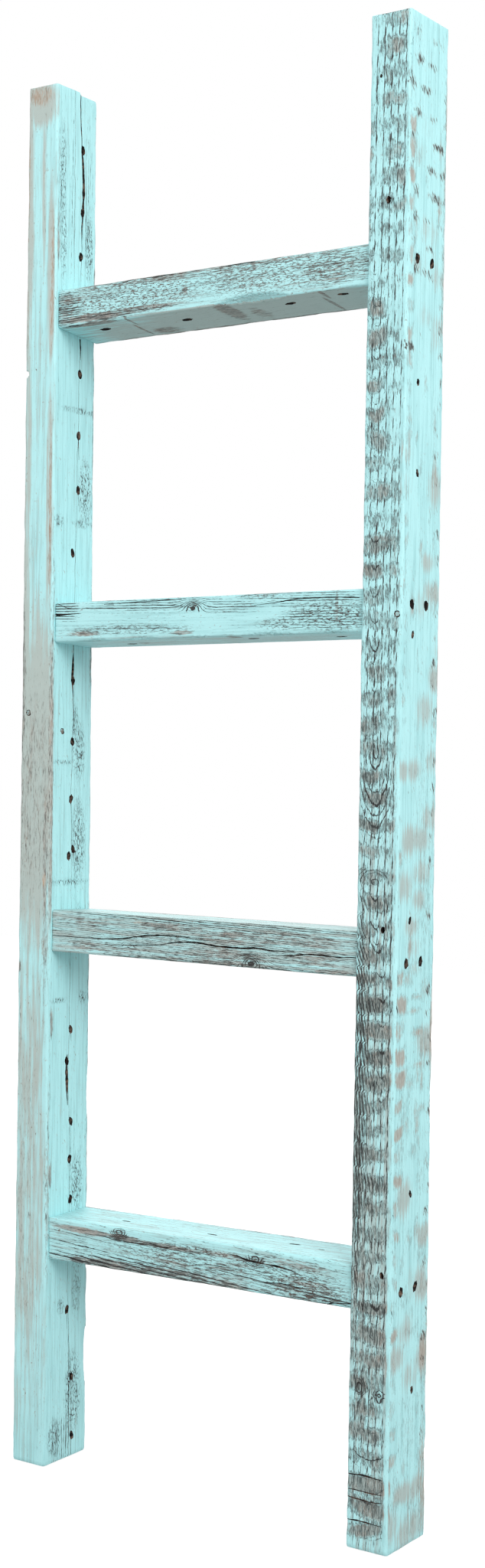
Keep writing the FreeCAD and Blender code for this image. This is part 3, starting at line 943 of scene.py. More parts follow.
# Behind the split the top end has sunk a little.
split_depth, split_soft = 0.0012, 0.0015
top_sunk, sunk_length = 0.0026, 0.012
points = points_of(left_post.data)
near_top = np.clip((points[:, z_axis] - post_height + sunk_length) / sunk_length, 0, 1)
behind_split = np.clip((points[:, y_axis] - split_depth) / split_soft, 0, 1)
points[:, z_axis] -= top_sunk * near_top * behind_split
put_points(left_post.data, points)
left_nicks = [
    (0.52, 0.07, 0.0009), (0.33, 0.05, 0.0012), (0.20, 0.06, 0.0009), (0.72, 0.06, 0.0009),
    (0.90, 0.05, 0.0008), (0.09, 0.05, 0.0013), (1.05, 0.07, 0.0008)]
nicked(left_post, left_nicks, lambda height: left_inner, left_back, (1, 1, 0), seed=60)
nicked(left_post, [(post_height, 0.016, 0.0016)], lambda height: left_inner, post_front, (1, -1, 1), seed=68)

inner_holes = [
    (6, 1169), (6, 1115), (4, 1076), (4.5, 973), (4, 919), (4, 871), (-3, 815), (-0.5, 702),
    (-0.5, 648), (-1.5, 597), (2, 552), (-4, 546), (1.5, 390), (-3.5, 362), (3, 307), (2, 273),
    (3.5, 236), (0.5, 136), (8, 73), (9, 19)]
split_line = [
    (1.5, 1222, 0.45, 9), (4, 1170, 0.5, 9), (6, 1160, 1.0, 10), (6, 1140, 1.5, 10),
    (6, 1112, 1.1, 10), (5, 1100, 0.6, 9), (5, 1085, 0.2, 6), (4, 1060, 0.15, 4),
    (4, 980, 0.14, 4), (1.5, 820, 0.16, 4), (-1, 728, 0.3, 4), (-1.5, 716, 1.3, 6),
    (-2, 704, 1.3, 6), (-0.5, 692, 0.5, 5), (0.5, 686, 0.2, 4), (1.5, 668, 0.4, 4),
    (0, 655, 0.3, 4), (-1, 590, 0.14, 4), (1.5, 470, 0.14, 4), (-1.5, 360, 0.2, 4),
    (2.5, 270, 0.2, 4), (1, 150, 0.14, 4), (8, 60, 0.2, 4), (8.5, -3, 0.3, 5)]
checks = [
    (4.5, 1004, 986, 1.0), (4, 918, 898, 0.7), (4, 870, 858, 0.4), (-1.5, 596, 584, 0.4),
    (2, 551, 540, 0.4), (1.5, 388, 380, 0.3), (0.5, 135, 118, 0.35)]
split = [(left_inner, y / 1000, z / 1000, half / 1000, deep / 1000) for y, z, half, deep in split_line]
cracks = [
    [(left_inner, y / 1000, high / 1000, half / 1000, 0.004),
     (left_inner, (y + 0.6) / 1000, low / 1000, half / 3000, 0.002)]
    for y, high, low, half in checks]
cracks += [
    [(left_inner, -0.0062, 1.222, 0.00012, 0.002), (left_inner, -0.0050, 1.120, 0.0002, 0.003),
     (left_inner, -0.0045, 1.052, 0.00012, 0.002)],
    [(left_inner, 0.0034, 0.113, 0.0002, 0.003), (left_inner, 0.0042, 0.060, 0.0004, 0.005),
     (left_inner, 0.0050, -0.003, 0.0003, 0.005)],
    [(left_inner, -0.0035, 0.368, 0.0006, 0.002), (left_inner, -0.0034, 0.352, 0.0022, 0.003),
     (left_inner, -0.0030, 0.338, 0.0015, 0.003), (left_inner, -0.0018, 0.322, 0.0004, 0.002)],
]
notch_height = 0.971
notch = (outer_face(-1, notch_height) + 0.0008, post_front, notch_height, 1.0)
bored(
    left_post,
    screw_recesses(-1),
    clefts("split", [split], leftwards, backwards, hole_wood_and_shade, jitter=0.0006, seed=21),
    clefts("cracks", cracks, leftwards, backwards, hole_wood_and_shade, step=0.003, seed=26),
    holes("arris notch", [notch], backwards, upwards, left_finish, radius=0.0034, depth=0.0065,
          tail=1.05, narrowing=0.85, seed=25),
    nail_seat("front nail seat", left_front_nail, backwards),
    nail_seat("side nail seat", left_side_nail, leftwards),
    holes("inner nail holes", [(left_inner, y / 1000, z / 1000, 1.3) for y, z in inner_holes],
          leftwards, upwards, hole_wood_and_shade, seed=22),
)

# What the left post's finish reads, face by face, in millimetres.
mm = points_of(left_post.data) * 1000
inner_level, left_outer_level, left_back_level = left_inner * 1000, -192.5, left_back * 1000
grey_front = spots(mm, y_axis, front_level, [
    (-178, 610, 30, 150, 1.0), (-190, 760, 8, 90, 0.9), (-182, 270, 26, 230, 0.6),
    (-176, 120, 30, 110, 0.3), (-190, 1120, 7, 150, 0.95), (-176, 1000, 40, 220, 0.3),
    (-163, 1050, 4, 90, 0.8), (-163, 860, 4, 110, 0.8), (-176, 1204, 20, 22, 0.95),
    (-172, 1120, 3, 90, 0.6), (-188, 900, 5, 110, 0.7)], edge=0.8)
rubs = spots(mm, y_axis, front_level, [
    (-176, 600, 24, 120, 0.55), (-191, 700, 4, 90, 0.8), (-163, 520, 4, 130, 0.7),
    (-182, 250, 16, 220, 0.42), (-170, 120, 5, 90, 0.4), (-191, 1150, 4, 100, 0.75),
    (-190, 1010, 3, 60, 0.55), (-162, 1050, 2.4, 80, 0.75), (-162, 850, 2.4, 100, 0.75),
    (-176, 1210, 16, 12, 0.75), (-170, 1140, 2.5, 70, 0.45), (-192, 447, 3, 6, 0.9),
    (-178, 225, 3, 5, 0.7)], edge=1.0)
fresh_front = spots(mm, y_axis, front_level, [
    (-162, 1213.7, 5, 6, 1.0), (-164.5, 525, 2, 5, 0.8), (-190, 1110, 5, 100, 0.5),
    (-163, 1040, 3, 90, 0.5), (-163, 860, 3, 110, 0.4), (-178, 1205, 18, 16, 0.4)], edge=1.0)
inner_edges = spots(mm, x_axis, inner_level, [
    (29, 600, 3, 640, 0.85), (-28, 1150, 2.5, 40, 0.6), (-27, 1085, 3, 34, 0.7),
    (-28, 400, 2, 200, 0.5), (-29, 640, 2.6, 220, 0.75), (-26, 398, 2.2, 16, 1.0),
    (-26, 262, 2.0, 13, 1.0), (-29, 240, 2.4, 90, 0.7)], edge=1.0)
inner_flakes = spots(mm, x_axis, inner_level, [
    (-22, 1140, 4, 40, 0.9), (-20, 1085, 4, 30, 0.9), (16, 1085, 5, 24, 1.1), (14, 1042, 5, 10, 0.9),
    (10, 941, 16, 2.5, 1.1), (14, 870, 8, 26, 1.2), (9, 842, 8, 3, 1.0), (-22, 842, 6, 5, 1.0),
    (9, 640, 8, 22, 1.2), (10, 560, 8, 30, 1.2), (12, 250, 8, 22, 1.2), (10, 58, 10, 32, 1.4),
    (-16, 22, 8, 14, 1.4), (16, 178, 8, 6, 1.4), (-8, 140, 5, 8, 0.9), (12, 480, 5, 20, 0.8),
    (14, 150, 6, 20, 0.8), (-9, 630, 20, 1.6, 1.2), (-4, 523, 24, 2.2, 1.2), (-16, 418, 10, 2, 1.1),
    (18, 418, 5, 5, 1.3), (3, 664, 4, 14, 1.2), (12, 842, 14, 1.8, 1.2), (-6, 941, 16, 1.5, 0.9)],
    edge=0.8)
inner_grain = spots(mm, x_axis, inner_level, [
    (-20, 1140, 5, 60, 0.6), (14, 1130, 8, 70, 0.7), (-10, 1130, 4, 80, 0.5), (-8, 20, 14, 24, 0.9),
    (10, 560, 10, 60, 0.6), (12, 260, 12, 60, 0.5), (0, 650, 12, 50, 0.3)], edge=0.8)
left_wear = np.maximum(
    scattered(mm, y_axis, left_back_level, z_axis, count=34, halves=(8, 50), strength=0.85, seed=75),
    scattered(mm, x_axis, left_outer_level, z_axis, count=40, halves=(9, 50), strength=0.8, seed=76))
left_grain = np.maximum(
    scattered(mm, y_axis, left_back_level, z_axis, count=14, halves=(12, 120), strength=1.0, seed=77),
    scattered(mm, x_axis, left_outer_level, z_axis, count=18, halves=(12, 120), strength=1.0, seed=78))
left_heart = [(0, -120, 60), (1219, -118, 70)]
left_knots = [(-183.4, -31, 705.6, 3.5)]
keep_marks(
    left_post.data,
    rings=growth_rings(mm, z_axis, left_heart, left_knots),
    rub=np.maximum.reduce([rubs, inner_edges, left_wear]),
    thin=np.maximum(grey_front, 0.12),
    fresh=fresh_front,
    crackle=inner_flakes,
    open=np.maximum(left_grain, inner_grain))

for post, node in ((left_post, "left_post"), (right_post, "right_post")):
    smoothed(post.data, timber_crease)
    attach(post, "root")
    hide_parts(node)


# Four rungs of the same old timber, cut square, butted between the posts and held there by
# screws. Each has splits, knots and worn places of its own.
rung_front = -0.02725
rung_back = 0.02775
rung_cells = {"Cells Across": 30, "Cells Deep": 46, "Cells Along": 262}


def rung_corners(shape):
    """The corners of a rung, from its upper face down, front to back and left to right."""
    ends = {}
    for k, x in enumerate((left_inner, right_inner)):
        top = shape["top"] + shape["climb"] * (k - 0.5)
        under = top - shape["front"]
        ends[0, 0, k] = (x, rung_front, top)
        ends[0, 1, k] = (x, rung_back, top - shape["top_drop"])
        ends[1, 0, k] = (x, rung_front, under)
        ends[1, 1, k] = (x, rung_back, under - shape["under_drop"])
    return [[[ends[i, j, k] for k in (0, 1)] for j in (0, 1)] for i in (0, 1)]


# Each rung's own story, in millimetres. Cracks on the front are (x, height, half width, depth),
# knots (x, y, height, size), holes from below (x, y), and slots in the top (x, y, size). Marks are
# (place, place, half size, half size, strength) on the face that they name. Planes are scoops off
# the worn front arris: (x, length, depth, roughness). worn_side is 1 where that arris is the upper
# one and -1 where it is the lower. heart is (height at the left, height at the right, depth).
# The underside's dull paint marks are partly thin paint and partly painted shade under the rung.
unmarked_rung = {"holes": [], "slots": [], "under_shade_and_thin": [], "under_rub": [], "fresh": []}
rung_stories = {
    "bottom_rung": {
        "ring_width": 1.7, "openness": 0.22, "wear": 0.06, "fibres": 0.9, "flake": "#5f5751",
        "heart": (150, 132, 60), "thin": 0.3, "worn_side": 1,
        "cracks": [
            [(34, 220.6, 0.2, 2), (46, 219.8, 0.5, 4), (55, 217.6, 0.7, 4), (63, 217.1, 0.5, 4),
             (75, 217.3, 0.3, 2)],
            [(72, 217.6, 0.3, 2), (84, 217.2, 0.9, 4), (96, 215.8, 0.5, 3), (105, 214.0, 0.2, 2)],
            [(10, 207.8, 0.2, 1.5), (26, 208.9, 0.35, 2), (43, 208.3, 0.2, 1.5)],
            [(60, 201.9, 0.25, 2), (72, 202.2, 0.45, 3), (88, 204.4, 0.5, 4), (105, 203.2, 0.5, 4),
             (120, 201.8, 0.2, 2)],
            [(126, 191.6, 0.2, 2), (137, 195.3, 0.5, 3), (156, 197.5, 0.4, 3)],
            [(-100, 216.4, 0.2, 1.5), (-80, 214.8, 0.45, 2.5), (-50, 216.4, 0.35, 2.5),
             (-8, 218.0, 0.2, 1.5)],
        ],
        "knots": [(-79.5, -27, 221, 5.0), (62, -27, 218.6, 4.0)],
        "slots": [(-90, -2.5, 1.1), (3.5, -4.7, 0.9), (82, 3.0, 0.8), (111, -1.5, 0.45)],
        "front_rub": [
            (-118, 218.2, 32, 3.2, 1.05), (-74, 218, 24, 3.0, 0.95), (-30, 217.4, 40, 2.6, 0.9),
            (45, 219, 60, 2.8, 0.7), (105, 222, 40, 5, 0.65), (-90, 192, 60, 6, 0.8),
            (0, 194, 80, 7, 0.75), (20, 205, 100, 13, 0.5), (110, 202, 44, 14, 0.55)],
        "front_open": [
            (-60, 193.5, 100, 7, 1.15), (60, 200, 90, 14, 0.55), (-120, 205, 40, 12, 0.4),
            (130, 196, 26, 7, 1.0), (-79.5, 220, 9, 5, 1.8), (62, 218, 9, 5, 1.8),
            (-40, 216, 60, 3, 0.9)],
        "front_crackle": [
            (5, 219, 38, 3.2, 1.0), (60, 215, 40, 6, 0.7), (110, 205, 40, 14, 1.0),
            (-20, 208, 70, 8, 0.7), (62, 218.6, 7, 3.5, 1.3), (-79.5, 220.5, 6, 4, 1.3)],
        "top_rub": [(0, 27.5, 170, 2.2, 1.0), (-132, -22, 20, 5, 0.3), (120, 20, 40, 8, 0.3)],
        "planes": [(-79.5, 12, 1.6, 0.6), (62, 14, 1.2, 0.5), (-125, 50, 0.6, 0.3), (110, 70, 0.8, 0.3)],
    },
    "lower_rung": {
        "ring_width": 1.5, "openness": 0.2, "wear": 0.09, "fibres": 0.9, "flake": "#4a4542",
        "heart": (600, 590, 30), "thin": 0.55, "worn_side": 1,
        "cracks": [
            [(-158, 476.8, 0.35, 3), (-133, 476.5, 0.35, 3), (-99, 477.5, 0.3, 3), (-77, 479.2, 0.4, 4),
             (-54, 482.3, 0.6, 5), (-33, 484.6, 0.6, 5), (-11, 483.4, 0.35, 3), (6, 482.6, 0.2, 2)],
            [(-158, 481.2, 0.3, 2), (-146, 481.0, 0.2, 1.5)],
            [(-92, 472.6, 0.2, 1.5), (-70, 473.3, 0.4, 3), (-41, 475.9, 0.3, 3), (-24, 478.9, 0.45, 4),
             (0, 479.9, 0.6, 5), (21, 478.4, 0.65, 5), (42, 478.3, 0.7, 5), (58, 479.3, 0.65, 5),
             (73, 478.2, 0.5, 4), (96, 479.4, 0.25, 2)],
            [(-110, 476.2, 0.2, 1.5), (-88, 477.0, 0.3, 2), (-64, 480.6, 0.2, 1.5)],
            [(70, 474.2, 0.25, 2), (89, 475.1, 0.45, 4), (109, 477.6, 0.5, 4), (123, 478.2, 0.55, 4),
             (138, 477.4, 0.45, 3), (156, 478.0, 0.4, 3)],
        ],
        "knots": [(54, -27, 469.0, 7.0), (-73, -27, 474.5, 3.0)],
        "front_rub": [
            (-120, 491, 36, 5, 0.55), (-20, 492, 60, 5, 0.55), (100, 489, 60, 7, 0.55),
            (0, 464, 100, 2.4, 0.6), (130, 464, 26, 3, 0.7), (-100, 470, 60, 6, 0.5),
            (40, 486, 60, 8, 0.5), (20, 470, 60, 8, 0.55), (120, 474, 40, 8, 0.5)],
        "front_open": [
            (0, 480, 170, 22, 0.5), (0, 463.5, 110, 3, 0.9), (54, 469, 9, 6, 1.6), (0, 497, 160, 3, 0.8)],
        "front_crackle": [(54, 469, 10, 6, 0.7), (-40, 480, 30, 5, 0.4)],
        "top_rub": [(0, 26, 170, 5, 1.0), (0, 0, 170, 26, 0.25)],
        "fresh": [(-64.5, 494.8, 5, 2.4, 1.0), (-157, 480, 1.6, 18, 0.8)],
        "planes": [(-64.5, 14, 0.8, 0.2), (54, 22, 0.5, 0.2)],
    },
    "upper_rung": {
        "ring_width": 2.1, "openness": 0.06, "wear": -0.03, "fibres": 0.5, "flake": "#564f4b",
        "heart": (905, 900, 10), "thin": 0.12, "worn_side": -1,
        "cracks": [
            [(-160, 758.6, 1.1, 6), (-148, 758.7, 0.5, 4), (-131, 759.6, 0.2, 2)],
            [(-157, 769.5, 0.3, 2), (-147, 765.2, 0.3, 2), (-138, 763.5, 0.15, 1)],
            [(-104, 767.0, 0.2, 1.5), (-67, 768.0, 0.35, 2.5), (-43, 768.6, 0.4, 3),
             (-22, 768.9, 0.2, 1.5)],
            [(-80, 765.4, 0.15, 1.5), (-43, 764.8, 0.35, 2.5), (-14, 762.6, 0.2, 1.5)],
            [(-63, 771.4, 0.15, 1), (-35, 772.4, 0.3, 2), (-8, 772.2, 0.15, 1)],
            [(46, 761.6, 0.15, 1), (69, 763.8, 0.3, 2), (88, 766.1, 0.45, 3), (127, 766.4, 0.45, 3),
             (152, 765.6, 0.3, 2)],
            [(38, 769.0, 0.2, 1), (58, 771.4, 0.35, 2), (76, 771.8, 0.2, 1)],
        ],
        "knots": [(-10, -27, 763.0, 5.5)],
        "holes": [(-96, 4), (38, -6), (118, 2)],
        "front_rub": [
            (-125, 742, 22, 2.6, 0.95), (-80, 746.5, 40, 3.5, 0.5), (131, 758, 2.4, 18, 0.75),
            (60, 770.5, 26, 2.4, 0.6), (120, 751, 44, 11, 0.4), (78, 747, 24, 5, 0.5),
            (-20, 741, 16, 2.5, 0.8), (-60, 767, 60, 3.5, 0.35), (20, 761, 22, 3, 0.4),
            (-148, 764, 10, 4, 0.4)],
        "front_open": [
            (-50, 766, 80, 7, 1.0), (110, 766, 50, 8, 0.9), (-146, 764, 16, 10, 1.3),
            (25, 761, 34, 5, 1.0), (-10, 763, 8, 6, 2.0), (120, 752, 44, 12, 0.7),
            (-80, 744, 70, 4, 0.7), (60, 770, 30, 4, 0.8)],
        "front_crackle": [
            (125, 752, 38, 12, 1.0), (80, 746, 24, 5, 0.8), (-80, 745, 60, 4, 0.6),
            (60, 770, 26, 3, 0.7), (-10, 763, 5, 4, 1.2)],
        "top_rub": [(0, 26, 170, 3, 0.5)],
        "under_rub": [(28, -20, 8, 8, 0.9), (-80, 0, 6, 4, 0.8)],
        "under_shade_and_thin": [(0, 0, 160, 30, 0.5)],
        "fresh": [(-1.5, 758.8, 3.0, 2.0, 0.9)],
        "planes": [
            (-111, 40, 1.6, 0.5), (-62, 46, 1.8, 0.6), (-5, 60, 1.2, 0.5), (70, 70, 1.8, 0.6),
            (130, 40, 1.4, 0.5)],
    },
    "top_rung": {
        "ring_width": 1.8, "openness": 0.12, "wear": 0.11, "fibres": 0.7, "flake": "#766a63",
        "heart": (1120, 1122, 5), "thin": 0.3, "worn_side": -1,
        "cracks": [
            [(12, 1041.4, 0.2, 1.5), (29, 1041.7, 0.5, 3), (47, 1042.2, 0.3, 2)],
            [(-92, 1039.8, 0.2, 1.5), (-70, 1041.4, 0.35, 2), (-46, 1041.2, 0.4, 3),
             (-18, 1040.6, 0.2, 1.5)],
        ],
        "knots": [(-22, -27, 1027, 3.0)],
        "holes": [(-120, -8), (-36, -4), (71, -9), (124, -14)],
        "front_rub": [
            (-150, 1022, 14, 16, 0.5), (-120, 1014, 44, 4, 0.8), (-70, 1016, 44, 3, 0.7),
            (-90, 1040, 70, 3.5, 0.55), (20, 1039, 90, 5, 0.45), (60, 1033, 90, 8, 0.35),
            (120, 1026, 40, 14, 0.45), (-22, 1027, 2.5, 3, 0.9), (-80, 1030, 70, 13, 0.3)],
        "front_open": [
            (0, 1034, 170, 10, 0.4), (-148, 1022, 18, 18, 1.0), (-100, 1014, 60, 4, 0.9),
            (130, 1030, 40, 16, 0.6)],
        "front_crackle": [(-80, 1028, 76, 13, 1.0), (75, 1030, 90, 14, 0.9)],
        "top_rub": [(0, -25, 170, 4, 0.6), (0, 26, 170, 3, 0.5)],
        "under_rub": [
            (-85, -22, 1.6, 14, 1.0), (-89, 6, 1.6, 16, 1.0), (-70, 14, 16, 8, 0.7),
            (12, -10, 9, 26, 0.8), (34, 4, 8, 16, 0.5), (109, -22, 1.8, 14, 1.1),
            (104, 6, 1.8, 18, 1.1), (0, 26, 160, 3, 0.7), (-120, -24, 30, 3, 0.9)],
        "under_shade_and_thin": [(40, 0, 140, 50, 1.1), (-100, 10, 50, 36, 0.8)],
        "planes": [(-90, 70, 0.8, 0.4), (20, 90, 0.7, 0.3)],
    },
}

for number, (node, shape) in enumerate(rung_shapes.items()):
    story = {**unmarked_rung, **rung_stories[node]}
    finish = weathered_paint(
        "worn turquoise paint on the " + node.replace("_", " "), x_axis, story["ring_width"],
        seed=3 + number, wear=story["wear"], openness=story["openness"], fibres=story["fibres"],
        shades={"flake": story["flake"]})
    size = (shape["front"], rung_back - rung_front, right_inner - left_inner)
    rung = cut_from(timber_tree, node + "_worn", {
        "Width": size[0], "Depth": size[1], "Length": size[2], "End Arris": 0.0005,
        "Front Saw Depth": 0.0, "Side Saw Depth": 0.0, "Seed": 3.0 + number,
        "Finish": finish, **rung_cells})
    set_to_outline(rung.data, size, rung_corners(shape))
    top, under = shape["top"], shape["top"] - shape["front"]
    under_middle = under - shape["under_drop"] / 2
    worn_arris = top if story["worn_side"] > 0 else under
    for row, (x, length, depth, rough) in enumerate(story["planes"]):
        climb = shape["climb"] * x / 1000 / size[2]
        planed_off(rung.data, (x / 1000, rung_front, worn_arris + climb), (0, -1, story["worn_side"]),
                   x_axis, length / 1000, depth / 1000, rough / 1000, seed=80 + 10 * number + row)
    if node == "top_rung":
        # A long splinter is gone from its lower front arris.
        planed_off(rung.data, (0.046, rung_front, under), (0, -1, -1), x_axis, length=0.084,
                   depth=0.005, rough=0.0004, seed=79)
    cutters = []
    for row, crack in enumerate(story["cracks"]):
        line = [(x / 1000, rung_front, z / 1000, half / 1000, deep / 1000) for x, z, half, deep in crack]
        cutters.append(clefts("crack", [line], backwards, upwards, hole_wood_and_shade, step=0.004,
                              jitter=0.00025, seed=100 + 10 * number + row))
    if story["holes"]:
        places = [(x / 1000, y / 1000, under_middle, 1.0) for x, y in story["holes"]]
        cutters.append(holes("nail holes", places, upwards, rightwards, hole_wood_and_shade, radius=0.0029,
                             tail=1.9, seed=90 + number))
    if story["slots"]:
        places = [(x / 1000, y / 1000, top, share) for x, y, share in story["slots"]]
        cutters.append(holes("slots", places, downwards, rightwards, hole_wood_and_shade, radius=0.0015,
                             depth=0.002, tail=4.0, seed=95 + number))
    bored(rung, *cutters)

    mm = points_of(rung.data) * 1000
    front_level, back_level = rung_front * 1000, rung_back * 1000
    top_level, under_level = top * 1000, under_middle * 1000
    left_height, right_height, heart_deep = story["heart"]
    heart = [(left_inner * 1000, left_height, heart_deep), (right_inner * 1000, right_height, heart_deep)]
    # A rung's underside gets dull thin paint that is partly painted shade under the rung.
    under_shade_and_thin = spots(mm, z_axis, under_level, story["under_shade_and_thin"], reach=4.0, edge=1.0)
    back_rub = scattered(mm, y_axis, back_level, x_axis, count=16, halves=(6, 30), strength=0.85,
                         seed=120 + number)
    back_open = scattered(mm, y_axis, back_level, x_axis, count=8, halves=(8, 70), strength=1.0,
                          seed=130 + number)
    keep_marks(
        rung.data,
        rings=growth_rings(mm, x_axis, heart, story["knots"]),
        rub=np.maximum.reduce([
            spots(mm, y_axis, front_level, story["front_rub"], edge=0.9),
            spots(mm, z_axis, top_level, story["top_rub"], edge=0.9),
            spots(mm, z_axis, under_level, story["under_rub"], reach=4.0, edge=0.7), back_rub]),
        open=np.maximum(spots(mm, y_axis, front_level, story["front_open"], edge=0.7), back_open),
        thin=np.maximum(story["thin"], under_shade_and_thin),
        crackle=spots(mm, y_axis, front_level, story["front_crackle"], edge=0.7),
        fresh=spots(mm, y_axis, front_level, story["fresh"]))
    smoothed(rung.data, timber_crease)
    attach(rung, "root")
    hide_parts(node)


# Sixteen countersunk wood screws, two through each post into each rung's end, with their heads
# sunk below the face. They are zinc-plated steel with a cross recess, dulled by paint and rust.
def along_rod(tree, z, length, tip_length, tip_share):
    """Reads heights on a rod, 1 m long and centred, that is to be turned into a screw or a nail.

    Gives the share of the length and the depth from the head, and what the point's taper leaves
    of the radius."""
    share = add(tree, "ShaderNodeMath", [z, 0.5], operation="ADD")
    depth = add(tree, "ShaderNodeMath", [share, length], operation="MULTIPLY")
    left = add(tree, "ShaderNodeMath", [length, depth], operation="SUBTRACT")
    taper = add(tree, "ShaderNodeMapRange", {
        "Value": left, "From Max": tip_length, "To Min": tip_share, "To Max": 1.0})
    return share, depth, taper


def turned_rod(tree, rod, x, y, radius, depth):
    """Moves each of the rod's points to its radius and depth."""
    out_x = add(tree, "ShaderNodeMath", [x, radius], operation="MULTIPLY")
    out_y = add(tree, "ShaderNodeMath", [y, radius], operation="MULTIPLY")
    turned_place = add(tree, "ShaderNodeCombineXYZ", [out_x, out_y, depth])
    return add(tree, "GeometryNodeSetPosition", {"Geometry": rod, "Position": turned_place})


def wood_screw_tree():
    """Turns two screws, with the heads' flat faces on the seats and the points inwards."""
    tree, given = part_tree("countersunk wood screws", "Screws", {
        "Head Radius": 0.0036, "Head Height": 0.0034, "Shank Radius": 0.0021, "Screw Length": 0.076,
        "Tip Length": 0.007, "Smooth Length": 0.026, "Thread Pitch": 0.0032, "Thread Depth": 0.0005,
        "Drive Size": 0.0038, "Drive Width": 0.0009, "Drive Depth": 0.0018,
    }, vectors=("First Seat", "Step", "Inward"), counts=("Seed",))

    # A turned blank: its radius follows the head's cone, the shank, the thread and the point.
    rod = add(tree, "GeometryNodeMeshCylinder", {
        "Vertices": 20, "Side Segments": 96, "Radius": 1.0, "Depth": 1.0}, fill_type="TRIANGLE_FAN")
    place = add(tree, "GeometryNodeInputPosition")
    x, y, z = add(tree, "ShaderNodeSeparateXYZ", [place]).node.outputs
    _, depth, taper = along_rod(tree, z, given["Screw Length"], given["Tip Length"], tip_share=0.08)
    body = add(tree, "ShaderNodeMapRange", {
        "Value": depth, "From Max": given["Head Height"], "To Min": given["Head Radius"],
        "To Max": given["Shank Radius"]})
    angle = add(tree, "ShaderNodeMath", [y, x], operation="ARCTAN2")
    turns = add(tree, "ShaderNodeMath", [angle, 2 * pi], operation="DIVIDE")
    climb = add(tree, "ShaderNodeMath", [depth, given["Thread Pitch"]], operation="DIVIDE")
    thread_turn = add(tree, "ShaderNodeMath", [turns, climb], operation="ADD")
    crest = add(tree, "ShaderNodeMath", [thread_turn, 0.5], operation="PINGPONG")
    sharp = add(tree, "ShaderNodeMapRange", {"Value": crest, "From Min": 0.25, "From Max": 0.5})
    threaded = add(tree, "ShaderNodeMath", [depth, given["Smooth Length"]], operation="GREATER_THAN")
    thread_lift = add(tree, "ShaderNodeMath", [sharp, given["Thread Depth"]], operation="MULTIPLY")
    lifted = add(tree, "ShaderNodeMath", [thread_lift, threaded, body], operation="MULTIPLY_ADD")
    radius = add(tree, "ShaderNodeMath", [lifted, taper], operation="MULTIPLY")
    driven = turned_rod(tree, rod, x, y, radius, depth)

    # The cross recess: two tapering arms, pressed into the head.
    deep_end = add(tree, "ShaderNodeMath", [given["Drive Depth"], 2.0], operation="MULTIPLY")
    narrowing = add(tree, "ShaderNodeMapRange", {
        "Value": z, "From Max": given["Drive Depth"], "To Min": 1.0, "To Max": 0.5})
    for wide, narrow in (("Drive Size", "Drive Width"), ("Drive Width", "Drive Size")):
        arm_size = add(tree, "ShaderNodeCombineXYZ", [given[wide], given[narrow], deep_end])
        bar = add(tree, "GeometryNodeMeshCube", {"Size": arm_size})
        arm = turned_rod(tree, bar, x, y, narrowing, z)
        driven = add(tree, "GeometryNodeMeshBoolean", {"Mesh 1": driven, "Mesh 2": arm},
                     operation="DIFFERENCE", solver="MANIFOLD")

    # Two of them, each stopped at a turn of its own.
    seats = add(tree, "GeometryNodeMeshLine", {
        "Count": 2, "Start Location": given["First Seat"], "Offset": given["Step"]}, mode="OFFSET")
    seat_points = add(tree, "GeometryNodeMeshToPoints", [seats])
    aim = add(tree, "FunctionNodeAlignRotationToVector", {"Vector": given["Inward"]}, axis="Z")
    stop = add(tree, "FunctionNodeRandomValue", {"Max_001": pi / 2, "Seed": given["Seed"]},
               out="Value_001", data_type="FLOAT")
    spin_angles = add(tree, "ShaderNodeCombineXYZ", [0.0, 0.0, stop])
    spin = add(tree, "FunctionNodeEulerToRotation", [spin_angles])
    turn = add(tree, "FunctionNodeRotateRotation", {"Rotation": aim, "Rotate By": spin},
               rotation_space="LOCAL")
    pair = add(tree, "GeometryNodeInstanceOnPoints", {
        "Points": seat_points, "Instance": driven, "Rotation": turn})
    finish_part(tree, pair, given["Finish"])
    return tree


def rusted_metal(name, clean, rust, paint, paint_share, metallic, grain):
    """Metal that shows between rust and leftover paint; grain is the rust's size in millimetres."""
    made, tree = bare_material(name)
    here = add(tree, "ShaderNodeTexCoord", out="Object")
    pits = add(tree, "ShaderNodeTexNoise", {"Vector": here, "Scale": 1000 / grain, "Detail": 4.0})
    rusted = add(tree, "ShaderNodeMapRange", {"Value": pits, "From Min": 0.42, "From Max": 0.6})
    patch = add(tree, "ShaderNodeTexNoise", {"Vector": here, "Scale": 1000 / (grain * 3), "Detail": 2.0})
    covered = add(tree, "ShaderNodeMapRange", {
        "Value": patch, "From Min": 0.55 - paint_share, "From Max": 0.62 - paint_share})
    colour = layered(tree, chip(clean), (rusted, chip(rust)), (covered, chip(paint)))
    dull = add(tree, "ShaderNodeMath", [rusted, covered], operation="MAXIMUM")
    shine = add(tree, "ShaderNodeMapRange", {"Value": dull, "To Min": metallic, "To Max": 0.0})
    rough = add(tree, "ShaderNodeMapRange", {"Value": dull, "To Min": 0.38, "To Max": 0.85})
    relief = add(tree, "ShaderNodeBump", {"Height": pits, "Distance": 0.0002, "Strength": 0.6})
    surface = add(tree, "ShaderNodeBsdfPrincipled", {
        "Base Color": colour, "Metallic": shine, "Roughness": rough, "Normal": relief})
    add(tree, "ShaderNodeOutputMaterial", {"Surface": surface})
    return made


